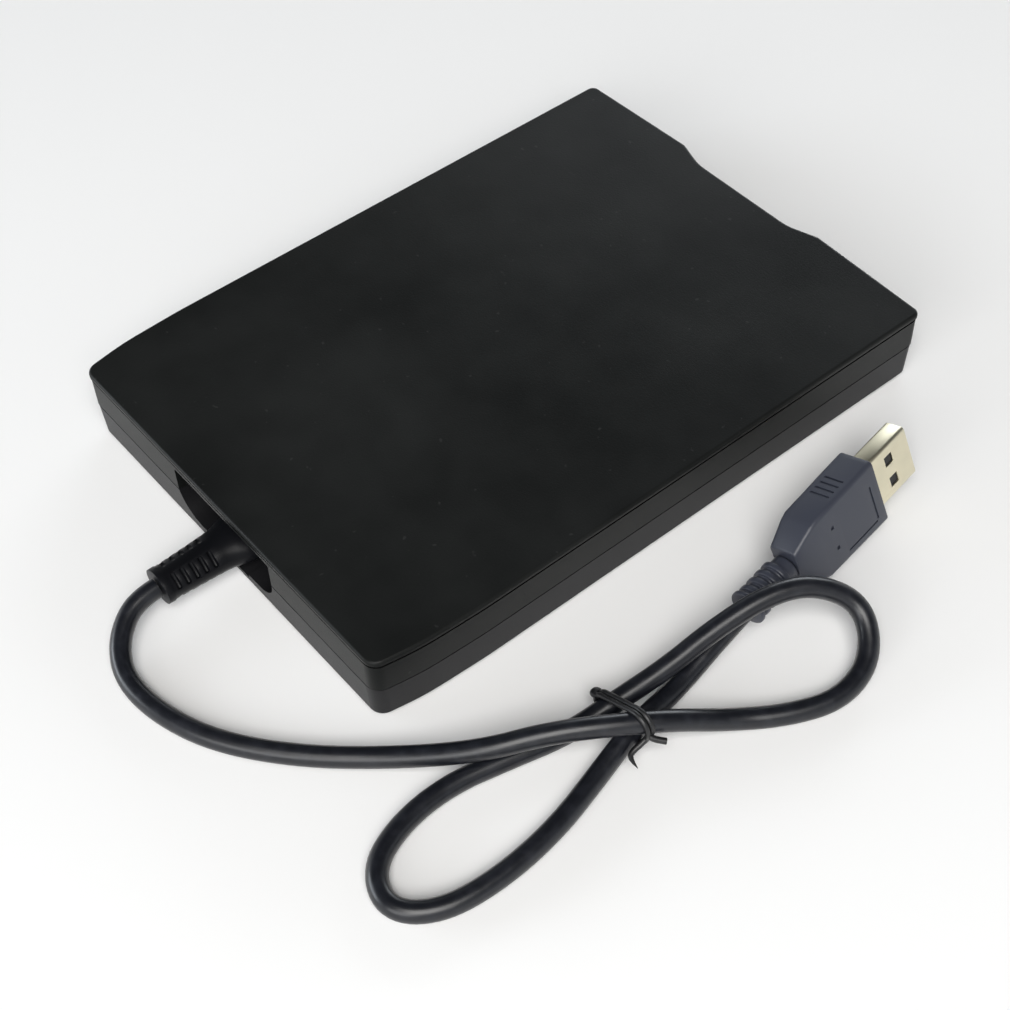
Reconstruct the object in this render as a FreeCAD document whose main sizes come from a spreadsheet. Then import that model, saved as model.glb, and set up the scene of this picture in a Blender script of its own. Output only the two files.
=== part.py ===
"""A slim external floppy disk drive with its tied cord and plug, as a parametric document in millimetres.

The disk slot faces -Y, the cord leaves the rear face towards +Y, and the feet stand on z = 0.
"""

import FreeCAD, Part
import math
import os

from FreeCAD import Placement, Rotation, Vector

# Driving dimensions, in millimetres and degrees
SIZES = {
    # Case
    "case_width": 103, "case_length": 142, "case_height": 18, "foot_height": 0.8, "split_level": 9,
    "rim_underside": 16.8, "groove_floor": 16.1, "rim_radius": 0.7, "wall_setback": 0.15,
    "groove_setback": 1.3, "base_setback": 0.55, "base_radius": 0.5, "seam_height": 0.3, "seam_depth": 0.5,
    "floor_top": 2.4, "roof_inside": 16.6, "cavity_half": 49.0, "corner_drop": 1.0,
    "scoop_half": 21, "scoop_run": 7, "scoop_depth": 2.3,
    "bend_start": 47, "bend_end": 61, "rear_half": 49.2,
    # Recess for the cord at the rear
    "recess_mouth": 16.2, "recess_sill": 3.3, "recess_top": 15.3, "recess_notch": 6.6, "recess_depth": 8,
    "recess_wall": 2,
    # Front panel
    "panel_back": -66.6, "panel_low": 2.5, "panel_high": 16.5, "slot_half": 46, "slot_low": 9.9,
    "slot_high": 14.6, "flap_half": 45.4, "flap_thick": 0.9, "hinge_y": -65.75, "hinge_z": 14,
    "pin_radius": 0.5, "ear_inside": 46.4, "ear_outside": 48,
    "button_left": 28, "button_right": 40, "button_low": 4.4, "button_high": 8.8, "button_face": -70.6,
    "light_middle": -36, "light_half": 1.5, "light_low": 5.9, "light_high": 7.1,
    # Chassis and the sliding frames in it
    "plate_low": 3, "plate_high": 3.8, "chassis_half": 48, "sheet": 0.8, "chassis_front": -58,
    "chassis_rear": 56, "wall_front": -56, "wall_rear": 26, "wall_high": 14.2,
    "carrier_half": 45.9, "carrier_sheet": 0.6, "carrier_low": 9.4, "carrier_high": 15,
    "carrier_front": -60, "carrier_rear": 29.8, "lip_width": 2.9,
    "slide_half": 46.8, "slide_sheet": 0.6, "slide_low": 4.2, "slide_high": 15.9, "slide_front": -57,
    "slide_rear": 24, "bridge_length": 6, "eject_travel": 5, "carrier_drop": 2.5,
    "post_radius": 0.8, "post_level": 12, "post_front": -48, "post_rear": 16, "slot_play": 0.05,
    # Disk drive motor
    "spindle_y": -16, "shaft_radius": 2, "bush_radius": 3.5, "bush_play": 0.03, "shaft_top": 9.2,
    "board_top": 4.6, "rotor_radius": 20, "rotor_wall": 0.8, "magnet_wall": 1.2, "rotor_low": 4.9,
    "rotor_top": 6.9, "stator_radius": 16.6, "stator_core": 9, "stator_high": 5.6, "coils": 12,
    "table_radius": 12, "table_top": 7.4, "drive_pin_radius": 1.2, "drive_pin_reach": 7.6,
    # Head carriage
    "rod_offset": 10, "rod_level": 5.7, "rod_radius": 1, "rod_front": 8, "rod_rear": 56, "rod_play": 0.05,
    "head_y": 23.5, "carriage_front": 36, "column_front": 45.2, "carriage_rear": 53.6,
    "column_high": 12.8, "arm_pin_y": 51.5, "arm_pin_z": 14.6, "arm_pin_radius": 0.8, "arm_low": 15.3,
    "arm_high": 16.3, "head_half": 3, "screw_x": 26, "screw_z": 8.5, "screw_radius": 1.5,
    "screw_pitch": 3, "screw_front": 32.4, "screw_rear": 49, "journal_radius": 0.8, "motor_radius": 4.5,
    "motor_front": 51.4, "motor_rear": 63, "tab_front": 30.8, "bracket_front": 50.2,
    # Shutter lever
    "lever_x": -38, "lever_y": 24, "lever_reach": 28, "lever_turn": -40, "lever_low": 15.3,
    "lever_high": 15.9, "rivet_radius": 1,
    # Circuit board at the rear
    "pcb_low": 5, "pcb_high": 6.2, "pcb_left": -46, "pcb_right": -16, "pcb_front": 33, "pcb_rear": 60,
    # Switches
    "switch_y": -50, "switch_x": 40, "disk_switch_x": 33.2, "switch_half": 3, "switch_high": 6.9,
    "plunger_radius": 1, "plunger_high": 8.6, "plunger_play": 0.05,
    # Strain relief, cord and plug
    "cord_diameter": 4.2, "relief_level": 6.4, "relief_end": 87, "relief_half": 3.9,
    "tie_wire": 1.0, "tie_y": 37.6, "plug_x": -72.7, "plug_y": -31.7, "plug_z": 10.45, "plug_yaw": -82.5,
    "plug_pitch": 6, "plug_lean": 20, "plug_long": 21, "plug_thick": 8.0, "plug_broad": 15.4,
    "boot_start": 26, "boot_end": 37, "shell_long": 12, "shell_thick": 4.5, "shell_broad": 12,
    "shell_wall": 0.35,
}

# The cord's route, from the strain relief through the tie, both loops and the tie again, to the plug
CORD_ROUTE = [
    (0.0, 87.0, 6.4), (0.0, 90.0, 6.4), (-1.0, 94.5, 5.3), (-5.2, 99.4, 3.6), (-12.0, 102.2, 2.3),
    (-22.5, 101.2, 2.1),
    (-34.5, 96.5, 2.15), (-47.0, 86.6, 2.1), (-58.9, 73.9, 3.0), (-69.6, 63.1, 6.9), (-75.6, 52.4, 9.0),
    (-81.4, 42.8, 8.9), (-87.0, 32.6, 7.0), (-91.6, 22.8, 2.6), (-97.8, 13.4, 2.15), (-101.6, 3.4, 2.1),
    (-99.4, -6.6, 3.6), (-91.6, -11.8, 8.0), (-84.6, -5.6, 12.6), (-80.8, 3.4, 12.9), (-78.6, 14.7, 9.8),
    (-77.7, 25.6, 6.5), (-76.0, 36.4, 4.2), (-74.6, 47.0, 2.2), (-71.6, 58.6, 2.15), (-68.9, 70.0, 2.1),
    (-69.6, 81.4, 2.15), (-73.6, 90.6, 2.1), (-81.8, 93.4, 2.15), (-87.8, 86.6, 2.1), (-89.4, 74.8, 2.15),
    (-88.2, 61.2, 2.1), (-84.8, 48.6, 2.2), (-82.2, 37.0, 4.2), (-80.3, 25.6, 2.3),
]

doc = FreeCAD.newDocument("FloppyDrive")
sheet = doc.addObject("Spreadsheet::Sheet", "Sizes")
for row, (alias, amount) in enumerate(SIZES.items(), start=1):
    sheet.set(f"A{row}", alias)
    sheet.set(f"B{row}", str(amount))
    sheet.setAlias(f"B{row}", alias)
doc.recompute()


class Size:
    """A driving dimension, or a sum of some: its value and the expression on the sheet that gives it."""

    def __init__(self, value, text):
        self.value = value
        self.text = text

    def __add__(self, other):
        return Size(self.value + number(other), f"({self.text} + {words(other)})")

    def __radd__(self, other):
        return Size(number(other) + self.value, f"({words(other)} + {self.text})")

    def __sub__(self, other):
        return Size(self.value - number(other), f"({self.text} - {words(other)})")

    def __rsub__(self, other):
        return Size(number(other) - self.value, f"({words(other)} - {self.text})")

    def __mul__(self, other):
        return Size(self.value * number(other), f"({self.text} * {words(other)})")

    __rmul__ = __mul__

    def __truediv__(self, other):
        return Size(self.value / number(other), f"({self.text} / {words(other)})")

    def __neg__(self):
        return Size(-self.value, f"(-1 * {self.text})")


class Sheet:
    """Gives each alias of the sheet as a Size."""

    def __getattr__(self, alias):
        return Size(float(SIZES[alias]), f"Sizes.{alias}")


S = Sheet()
NODES = []


def number(amount):
    return amount.value if isinstance(amount, Size) else float(amount)


def words(amount):
    return amount.text if isinstance(amount, Size) else str(amount)


def bind(item, prop, amount):
    """Set a property from a Size through its expression, or from a plain number."""
    if isinstance(amount, Size):
        item.setExpression(prop, amount.text)
    else:
        parts = prop.split(".")
        if len(parts) == 1:
            setattr(item, prop, amount)
        else:
            item.setExpression(prop, str(amount))


# Profiles: each is a function that draws closed geometry into a sketch
def polygon(*corners):
    """Straight sides through the corners, every corner bound to the sheet."""
    def draw(sketch):
        import Sketcher
        first = sketch.GeometryCount
        flat = [Vector(number(u), number(v), 0) for u, v in corners]
        for here, after in zip(flat, flat[1:] + flat[:1]):
            sketch.addGeometry(Part.LineSegment(here, after), False)
        count = len(corners)
        for i in range(count):
            sketch.addConstraint(Sketcher.Constraint("Coincident", first + i, 2, first + (i + 1) % count, 1))
        for i, (u, v) in enumerate(corners):
            for kind, amount in (("DistanceX", u), ("DistanceY", v)):
                index = sketch.addConstraint(Sketcher.Constraint(kind, -1, 1, first + i, 1, number(amount)))
                if isinstance(amount, Size):
                    sketch.setExpression(f"Constraints[{index}]", amount.text)
    return draw


def rect(left, right, low, high):
    """A rectangle between two u values and two v values."""
    return polygon((left, low), (right, low), (right, high), (left, high))


def circle(u, v, radius):
    """A circle bound to the sheet."""
    def draw(sketch):
        import Sketcher
        index = sketch.addGeometry(Part.Circle(Vector(number(u), number(v), 0), Vector(0, 0, 1), number(radius)))
        for kind, amount in (("DistanceX", u), ("DistanceY", v)):
            place = sketch.addConstraint(Sketcher.Constraint(kind, -1, 1, index, 3, number(amount)))
            if isinstance(amount, Size):
                sketch.setExpression(f"Constraints[{place}]", amount.text)
        size = sketch.addConstraint(Sketcher.Constraint("Radius", index, number(radius)))
        if isinstance(radius, Size):
            sketch.setExpression(f"Constraints[{size}]", radius.text)
    return draw


def oblong(start, end, radius):
    """A slot with round ends about two centres."""
    def draw(sketch):
        a = Vector(number(start[0]), number(start[1]), 0)
        b = Vector(number(end[0]), number(end[1]), 0)
        along = (b - a).normalize() * number(radius)
        across = Vector(-along.y, along.x, 0)
        sketch.addGeometry(Part.LineSegment(a + across, b + across), False)
        sketch.addGeometry(Part.Arc(b + across, b + along, b - across), False)
        sketch.addGeometry(Part.LineSegment(b - across, a - across), False)
        sketch.addGeometry(Part.Arc(a - across, a - along, a + across), False)
    return draw


def rounded(*corners):
    """Straight sides with tangent arcs at the corners, each corner being (u, v, radius)."""
    def draw(sketch):
        spots = [(Vector(number(u), number(v), 0), number(radius)) for u, v, radius in corners]
        ends = []
        arcs = []
        for i, (corner, radius) in enumerate(spots):
            before = (spots[i - 1][0] - corner).normalize()
            after = (spots[(i + 1) % len(spots)][0] - corner).normalize()
            if radius <= 0:
                ends.append((corner, corner))
                continue
            half = before.getAngle(after) / 2
            back = radius / math.tan(half)
            middle = corner + (before + after).normalize() * (radius / math.sin(half) - radius)
            ends.append((corner + before * back, corner + after * back))
            arcs.append(Part.Arc(corner + before * back, middle, corner + after * back))
        for i, (_, leave) in enumerate(ends):
            sketch.addGeometry(Part.LineSegment(leave, ends[(i + 1) % len(ends)][0]), False)
        for arc in arcs:
            sketch.addGeometry(arc, False)
    return draw


# Bodies and their features
PLANES = {"x": "YZ_Plane", "y": "XZ_Plane", "z": "XY_Plane"}


def new_body(label):
    body = doc.addObject("PartDesign::Body", label)
    body.Label = label
    NODES.append(body)
    return body


def sketch_on(body, axis, level, profiles):
    """A sketch square to the axis at a level along it, holding the given profiles."""
    sketch = body.newObject("Sketcher::SketchObject", f"{body.Name}Sketch")
    role = PLANES[axis]
    sketch.AttachmentSupport = [(next(p for p in body.Origin.OriginFeatures if p.Role == role), "")]
    sketch.MapMode = "FlatFace"
    bind(sketch, "AttachmentOffset.Base.z", -level if axis == "y" else level)
    for draw in profiles:
        draw(sketch)
    return sketch


def extrude(body, kind, axis, start, end, profiles):
    """A pad or pocket between two levels along an axis, at whichever end the sketch's normal leaves."""
    sketch = sketch_on(body, axis, end if axis == "y" else start, profiles)
    doc.recompute()
    feature = body.newObject(f"PartDesign::{kind}", f"{body.Name}{kind}")
    feature.Profile = sketch
    bind(feature, "Length", end - start)
    feature.Reversed = kind == "Pocket"
    return feature


def add(body, axis, start, end, *profiles):
    feature = extrude(body, "Pad", axis, start, end, profiles)
    doc.recompute()
    return feature


def remove(body, axis, start, end, *profiles):
    before = body.Shape.Volume
    feature = extrude(body, "Pocket", axis, start, end, profiles)
    doc.recompute()
    if not body.Shape.Volume < before - 1e-6:
        raise ValueError(f"a pocket of {body.Label} cuts nothing")
    return feature


def drawn_in(body, axis, start, end, first, last):
    """A loft with straight sides between two profiles of the same kind."""
    low = sketch_on(body, axis, start, [first])
    high = sketch_on(body, axis, end, [last])
    doc.recompute()
    loft = body.newObject("PartDesign::AdditiveLoft", f"{body.Name}Loft")
    loft.Profile = low
    loft.Sections = [high]
    loft.Ruled = True
    doc.recompute()
    return loft


def fillet(body, radius, chosen):
    """Round the edges of the body that the given test picks."""
    names = [f"Edge{i}" for i, edge in enumerate(body.Tip.Shape.Edges, start=1) if chosen(edge)]
    feature = body.newObject("PartDesign::Fillet", f"{body.Name}Fillet")
    feature.Base = (body.Tip if body.Tip != feature else feature.BaseFeature, names)
    bind(feature, "Radius", radius)
    doc.recompute()
    return feature


def at_level(level):
    """A test for edges that lie whole in the plane at one height."""
    wanted = number(level)
    return lambda edge: abs(edge.BoundBox.ZMin - wanted) < 1e-4 and abs(edge.BoundBox.ZMax - wanted) < 1e-4


def both_sides(u_low, u_high):
    """The interval on the +X side and its mirror."""
    return ((u_low, u_high), (-u_high, -u_low))


# Case
def case_outline(inset):
    """The plan outline: a wavy front, straight sides that draw in at the rear, and round corners."""
    half = S.case_width / 2 - inset
    front = -S.case_length / 2 + inset
    rear = S.case_length / 2 - inset
    right = [
        (S.scoop_half - S.scoop_run, front + S.scoop_depth, 12),
        (S.scoop_half, front, 3),
        (half, front + S.corner_drop, 1.8),
        (half, S.bend_start, 150),
        (half - 0.6, S.bend_end, 60),
        (S.rear_half - inset, rear, 3),
    ]
    left = [(-u, v, radius) for u, v, radius in reversed(right)]
    return rounded(*right, *left)


def case_cavity(half):
    """The plan of the room inside, open at the front and stepped in around the rear recess."""
    rear = S.case_length / 2 - S.recess_wall
    step = S.case_length / 2 - S.recess_depth - S.recess_wall
    right = [(half, -S.case_length / 2 - 2), (half, S.bend_start - 2), (half - 0.7, S.bend_end - 1),
             (S.rear_half - 2.2, rear), (S.recess_mouth + 2.5, rear), (S.recess_mouth + 1.5, step)]
    left = [(-u, v) for u, v in reversed(right)]
    return polygon(*right, *left)


def recess_mouth():
    """The rear view of the bowl around the strain relief, with large rounds at its lower corners."""
    low, high = S.recess_sill, S.recess_top
    return rounded((-S.recess_mouth, high, 0.6), (-S.recess_mouth, low, 6.2),
                   (S.recess_mouth, low, 6.2), (S.recess_mouth, high, 0.6))


def relief_gap(low, high):
    """The opening through the recess wall that clamps the strain relief's neck."""
    return rect(-5, 5, low, high)


def make_top_cover():
    body = new_body("top_cover")
    add(body, "z", S.split_level, S.groove_floor, case_outline(S.wall_setback))
    add(body, "z", S.groove_floor, S.rim_underside, case_outline(S.groove_setback))
    add(body, "z", S.rim_underside, S.case_height, case_outline(Size(0, "0")))
    fillet(body, S.rim_radius, at_level(S.case_height))
    ring = [case_outline(Size(0, "0")), case_outline(S.wall_setback + S.seam_depth)]
    remove(body, "z", S.split_level, S.split_level + S.seam_height, *ring)
    remove(body, "z", S.split_level, S.roof_inside, case_cavity(S.cavity_half))
    wall = S.case_length / 2 - S.recess_depth
    remove(body, "y", wall, wall + S.recess_depth + 1, recess_mouth())
    remove(body, "y", wall - 3, wall + 1, relief_gap(S.split_level, S.relief_level + 3.6))
    for side in (-1, 1):
        post = circle(side * 44, 63.5, 3)
        add(body, "z", S.split_level, S.roof_inside, post, circle(side * 44, 63.5, 1))


def make_bottom_cover():
    body = new_body("bottom_cover")
    shell = add(body, "z", S.foot_height, S.split_level, case_outline(S.base_setback))
    flare = (S.base_setback - S.wall_setback) / (S.split_level - S.foot_height)
    shell.setExpression("TaperAngle", f"atan({flare.text})")
    doc.recompute()
    fillet(body, S.base_radius, at_level(S.foot_height))
    remove(body, "z", S.floor_top, S.split_level, case_cavity(S.cavity_half))
    wall = S.case_length / 2 - S.recess_depth
    remove(body, "y", wall, wall + S.recess_depth + 1, recess_mouth())
    notch = rect(-S.recess_notch, S.recess_notch, S.relief_level - 4.1, S.recess_sill + 0.5)
    remove(body, "y", wall, wall + S.recess_depth + 1, notch)
    remove(body, "y", wall - 3, wall + 1, relief_gap(S.relief_level - 3.6, S.split_level))
    for side in (-1, 1):
        add(body, "z", S.floor_top, S.split_level, circle(side * 44, 63.5, 3))
        remove(body, "z", S.foot_height, S.split_level, circle(side * 44, 63.5, 1.2))
        remove(body, "z", S.foot_height, Size(2.0, "2.0"), circle(side * 44, 63.5, 2.6))
        for y in (-40, 46):
            add(body, "z", S.floor_top, S.plate_low, circle(side * 40, y, 3))
            remove(body, "z", Size(1.4, "1.4"), S.plate_low, circle(side * 40, y, 1))


def make_front_bezel():
    body = new_body("front_bezel")
    front = -S.case_length / 2 + 0.7
    half = S.cavity_half - 0.1
    right = [(half, S.panel_back), (half, front + 0.9), (S.scoop_half, front),
             (S.scoop_half - S.scoop_run, front + S.scoop_depth)]
    left = [(-u, v) for u, v in reversed(right)]
    add(body, "z", S.panel_low, S.panel_high, polygon(*right, *left))
    back = S.panel_back
    remove(body, "y", front - 1, back + 0.2, rect(-S.slot_half, S.slot_half, S.slot_low, S.slot_high))
    remove(body, "y", front - 1, front + 2.9, rect(-13, 13, S.slot_low - 1.3, S.slot_high + 1.2))
    remove(body, "y", front - 1, back + 0.2,
           rect(S.button_left - 0.3, S.button_right + 0.3, S.button_low - 0.3, S.button_high + 0.3))
    left_edge = S.light_middle - S.light_half
    right_edge = S.light_middle + S.light_half
    remove(body, "y", front - 1, back + 0.2, rect(left_edge, right_edge, S.light_low, S.light_high))
    for start, end in both_sides(S.ear_inside, S.ear_outside):
        add(body, "x", start, end, rect(back - 0.3, back + 2.3, S.hinge_z - 1.4, S.hinge_z + 1.4))
        remove(body, "x", start - 0.1, end + 0.1, circle(S.hinge_y, S.hinge_z, S.pin_radius + 0.05))


def make_slot_flap():
    body = new_body("slot_flap")
    half_thick = S.flap_thick / 2
    add(body, "x", -S.flap_half, S.flap_half,
        rect(S.hinge_y - half_thick, S.hinge_y + half_thick, S.slot_low + 0.2, S.hinge_z + 0.45))
    reach = S.ear_outside - 0.4
    add(body, "x", -reach, reach, circle(S.hinge_y, S.hinge_z, S.pin_radius))


def make_flap_spring():
    body = new_body("flap_spring")
    add(body, "x", S.flap_half + 0.2, S.ear_inside - 0.2,
        circle(S.hinge_y, S.hinge_z, 0.8), circle(S.hinge_y, S.hinge_z, 0.6))


def make_eject_button():
    body = new_body("eject_button")
    add(body, "y", S.button_face, S.panel_back + 0.8,
        rect(S.button_left, S.button_right, S.button_low, S.button_high))
    fillet(body, 0.5, lambda edge: abs(edge.BoundBox.YMax - number(S.button_face)) < 1e-4)
    add(body, "y", S.panel_back + 0.8, S.slide_front - 0.6,
        rect(S.button_left + 3, S.button_right - 2, S.button_low + 0.6, S.button_high - 0.8))


def make_activity_light():
    body = new_body("activity_light")
    left = S.light_middle - S.light_half
    right = S.light_middle + S.light_half
    front = -S.case_length / 2 + 0.7
    add(body, "y", front + 0.2, S.panel_back, rect(left, right, S.light_low, S.light_high))
    add(body, "y", S.panel_back, S.panel_back + 1,
        rect(left - 0.8, right + 0.8, S.light_low - 0.8, S.light_high + 0.8))


def make_rubber_feet():
    body = new_body("rubber_feet")
    spots = [(side * 40, y) for side in (-1, 1) for y in (-54, 52)]
    add(body, "z", Size(0, "0"), S.foot_height, *[circle(x, y, 4) for x, y in spots])


def make_case_screws():
    body = new_body("case_screws")
    add(body, "z", Size(0.9, "0.9"), Size(2.0, "2.0"), *[circle(side * 44, 63.5, 2.3) for side in (-1, 1)])
    add(body, "z", Size(2.0, "2.0"), Size(14, "14"), *[circle(side * 44, 63.5, 1) for side in (-1, 1)])


# Chassis, carrier and cam slide
def make_chassis():
    body = new_body("chassis")
    half = S.chassis_half
    add(body, "z", S.plate_low, S.plate_high, rect(-half, half, S.chassis_front, S.chassis_rear))
    remove(body, "z", S.plate_low, S.plate_high, circle(0, S.spindle_y, S.bush_radius))
    holes = [circle(side * 40, y, 1.2) for side in (-1, 1) for y in (-40, 46)]
    remove(body, "z", S.plate_low, S.plate_high, *holes)
    play = S.post_radius + S.slot_play
    for start, end in both_sides(half - S.sheet, half):
        add(body, "x", start, end, rect(S.wall_front, S.wall_rear, S.plate_low, S.wall_high))
        for y in (S.post_front, S.post_rear):
            remove(body, "x", start, end,
                   oblong((y, S.post_level), (y, S.post_level - S.carrier_drop), play))
    add(body, "y", S.tab_front, S.tab_front + S.sheet,
        rect(S.screw_x - 4, S.screw_x + 4, S.plate_low, S.screw_z + 3))
    remove(body, "y", S.tab_front, S.tab_front + S.sheet, circle(S.screw_x, S.screw_z, 2))
    pads = [circle(-44, 36, 1.5), circle(-44, 50, 1.5), circle(-19, 36, 1.5)]
    add(body, "z", S.plate_high, S.pcb_low, *pads)
    for side in (-1, 1):
        add(body, "z", S.plate_high, Size(6.5, "6.5"), rect(side * 44.2 - 1, side * 44.2 + 1, -31, -30))


def make_chassis_screws():
    body = new_body("chassis_screws")
    spots = [(side * 40, y) for side in (-1, 1) for y in (-40, 46)]
    add(body, "z", Size(1.5, "1.5"), S.plate_high, *[circle(x, y, 1) for x, y in spots])
    add(body, "z", S.plate_high, S.plate_high + 0.9, *[circle(x, y, 2) for x, y in spots])


def make_disk_carrier():
    body = new_body("disk_carrier")
    half = S.carrier_half
    thick = S.carrier_sheet
    front = S.carrier_front
    rear = S.carrier_rear
    add(body, "z", S.carrier_high - thick, S.carrier_high, rect(-half, half, front, rear))
    remove(body, "z", S.carrier_high - thick, S.carrier_high, rect(-20, 8, 2, rear + 1))
    remove(body, "z", S.carrier_high - thick, S.carrier_high, circle(S.lever_x, S.lever_y, S.rivet_radius))
    for start, end in both_sides(half - thick, half):
        add(body, "x", start, end, rect(front, rear, S.carrier_low, S.carrier_high))
    for start, end in both_sides(half - S.lip_width, half):
        add(body, "x", start, end, rect(front, rear, S.carrier_low, S.carrier_low + thick))
    for start, end in both_sides(half - thick, half):
        remove(body, "x", start, end, circle(S.post_front, S.post_level, S.post_radius),
               circle(S.post_rear, S.post_level, S.post_radius))


def make_carrier_pins():
    body = new_body("carrier_pins")
    for start, end in both_sides(S.carrier_half - S.carrier_sheet, S.chassis_half - 0.1):
        add(body, "x", start, end, circle(S.post_front, S.post_level, S.post_radius),
            circle(S.post_rear, S.post_level, S.post_radius))


def make_cam_slide():
    body = new_body("cam_slide")
    half = S.slide_half
    thick = S.slide_sheet
    front = S.slide_front
    add(body, "z", S.slide_high - thick, S.slide_high, rect(-half, half, front, front + S.bridge_length))
    for start, end in both_sides(half - thick, half):
        add(body, "x", start, end, rect(front, S.slide_rear, S.slide_low, S.slide_high))
        for y in (S.post_front, S.post_rear):
            remove(body, "x", start, end,
                   oblong((y, S.post_level), (y + S.eject_travel, S.post_level - S.carrier_drop),
                          S.post_radius + S.slot_play))
    add(body, "y", front - thick, front, rect(S.button_left + 2, half, S.slide_low, S.button_high - 2.1))
    for start, end in both_sides(Size(43.2, "43.2"), half):
        add(body, "x", start, end, rect(-7.6, -6.6, S.slide_low, 6.5))


def make_eject_springs():
    body = new_body("eject_springs")
    add(body, "y", Size(-30, "-30"), Size(-7.6, "-7.6"),
        *[circle(side * 44.2, 5.4, 1.15) for side in (-1, 1)])
    remove(body, "y", Size(-30, "-30"), Size(-7.6, "-7.6"),
           *[circle(side * 44.2, 5.4, 0.75) for side in (-1, 1)])


def make_shutter_lever():
    body = new_body("shutter_lever")
    low = S.lever_low
    high = S.lever_high
    add(body, "z", low, high, rect(0, S.lever_reach, -1.6, 1.6))
    add(body, "z", low, high, circle(0, 0, 3.2))
    add(body, "z", low, high, circle(S.lever_reach, 0, 2))
    remove(body, "z", low, high, circle(0, 0, S.rivet_radius + 0.05))
    add(body, "z", low - 4.7, low, circle(S.lever_reach, 0, 1.4))
    body.Placement = Placement(Vector(SIZES["lever_x"], SIZES["lever_y"], 0),
                               Rotation(Vector(0, 0, 1), SIZES["lever_turn"]))
    body.setExpression("Placement.Base.x", "Sizes.lever_x")
    body.setExpression("Placement.Base.y", "Sizes.lever_y")


def make_lever_pivot():
    body = new_body("lever_pivot")
    add(body, "z", S.carrier_high - S.carrier_sheet, S.lever_high + 0.1,
        circle(S.lever_x, S.lever_y, S.rivet_radius))
    add(body, "z", S.lever_high + 0.1, S.lever_high + 0.4, circle(S.lever_x, S.lever_y, 1.8))


def make_lever_spring():
    body = new_body("lever_spring")
    low = S.carrier_high
    add(body, "z", low, low + 0.2, circle(S.lever_x, S.lever_y, 2.6), circle(S.lever_x, S.lever_y, 1.5))
    add(body, "z", low, low + 0.2, rect(S.lever_x - 2.4, S.lever_x - 2.0, S.lever_y - 9, S.lever_y))


# Motor that turns the disk
def make_motor_board():
    body = new_body("motor_board")
    add(body, "z", S.plate_high, S.board_top, rect(-30, 30, -44, 2),
        circle(0, S.spindle_y, S.bush_radius + 0.5))


def make_spindle_bearing():
    body = new_body("spindle_bearing")
    add(body, "z", S.floor_top + 0.1, S.stator_high - 0.3, circle(0, S.spindle_y, S.bush_radius),
        circle(0, S.spindle_y, S.shaft_radius + S.bush_play))


def make_spindle_shaft():
    body = new_body("spindle_shaft")
    add(body, "z", S.floor_top + 0.3, S.shaft_top, circle(0, S.spindle_y, S.shaft_radius))


def make_spindle_stator():
    """A ring core with its coils set round it by a polar pattern about the spindle."""
    body = new_body("spindle_stator")
    add(body, "z", S.board_top, S.stator_high, circle(0, 0, S.stator_core + 1.5),
        circle(0, 0, S.stator_core - 3))
    coil = add(body, "z", S.board_top, S.stator_high, rect(-1.7, 1.7, S.stator_core, S.stator_radius))
    pattern = body.newObject("PartDesign::PolarPattern", "Coils")
    pattern.Originals = [coil]
    axis = next(line for line in body.Origin.OriginFeatures if line.Role == "Z_Axis")
    pattern.Axis = (axis, [""])
    pattern.Angle = 360
    pattern.setExpression("Occurrences", "Sizes.coils")
    body.Tip = pattern
    body.setExpression("Placement.Base.y", "Sizes.spindle_y")
    doc.recompute()


def make_spindle_rotor():
    body = new_body("spindle_rotor")
    y = S.spindle_y
    add(body, "z", S.rotor_top - 0.7, S.rotor_top, circle(0, y, S.rotor_radius),
        circle(0, y, S.shaft_radius + 0.01))
    add(body, "z", S.rotor_low, S.rotor_top - 0.7, circle(0, y, S.rotor_radius),
        circle(0, y, S.rotor_radius - S.rotor_wall))


def make_rotor_magnet():
    body = new_body("rotor_magnet")
    outer = S.rotor_radius - S.rotor_wall
    add(body, "z", S.rotor_low, S.rotor_top - 0.7, circle(0, S.spindle_y, outer),
        circle(0, S.spindle_y, outer - S.magnet_wall))


def make_spindle_hub():
    body = new_body("spindle_hub")
    add(body, "z", S.rotor_top, S.table_top, circle(0, S.spindle_y, S.table_radius),
        circle(0, S.spindle_y, S.shaft_radius))


def make_drive_pin():
    body = new_body("drive_pin")
    add(body, "z", S.table_top, S.table_top + 1.4, circle(S.drive_pin_reach, S.spindle_y, S.drive_pin_radius))


# Heads, their carriage and what moves it
def make_guide_rods():
    body = new_body("guide_rods")
    add(body, "y", S.rod_front, S.rod_rear,
        *[circle(side * S.rod_offset, S.rod_level, S.rod_radius) for side in (-1, 1)])


def make_rod_clips():
    body = new_body("rod_clips")
    for start in (S.rod_front, S.rod_rear - 2):
        blocks = [rect(side * S.rod_offset - 1.6, side * S.rod_offset + 1.6, S.plate_high, S.rod_level + 1.4)
                  for side in (-1, 1)]
        bores = [circle(side * S.rod_offset, S.rod_level, S.rod_radius) for side in (-1, 1)]
        add(body, "y", start, start + 2, *blocks, *bores)


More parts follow.
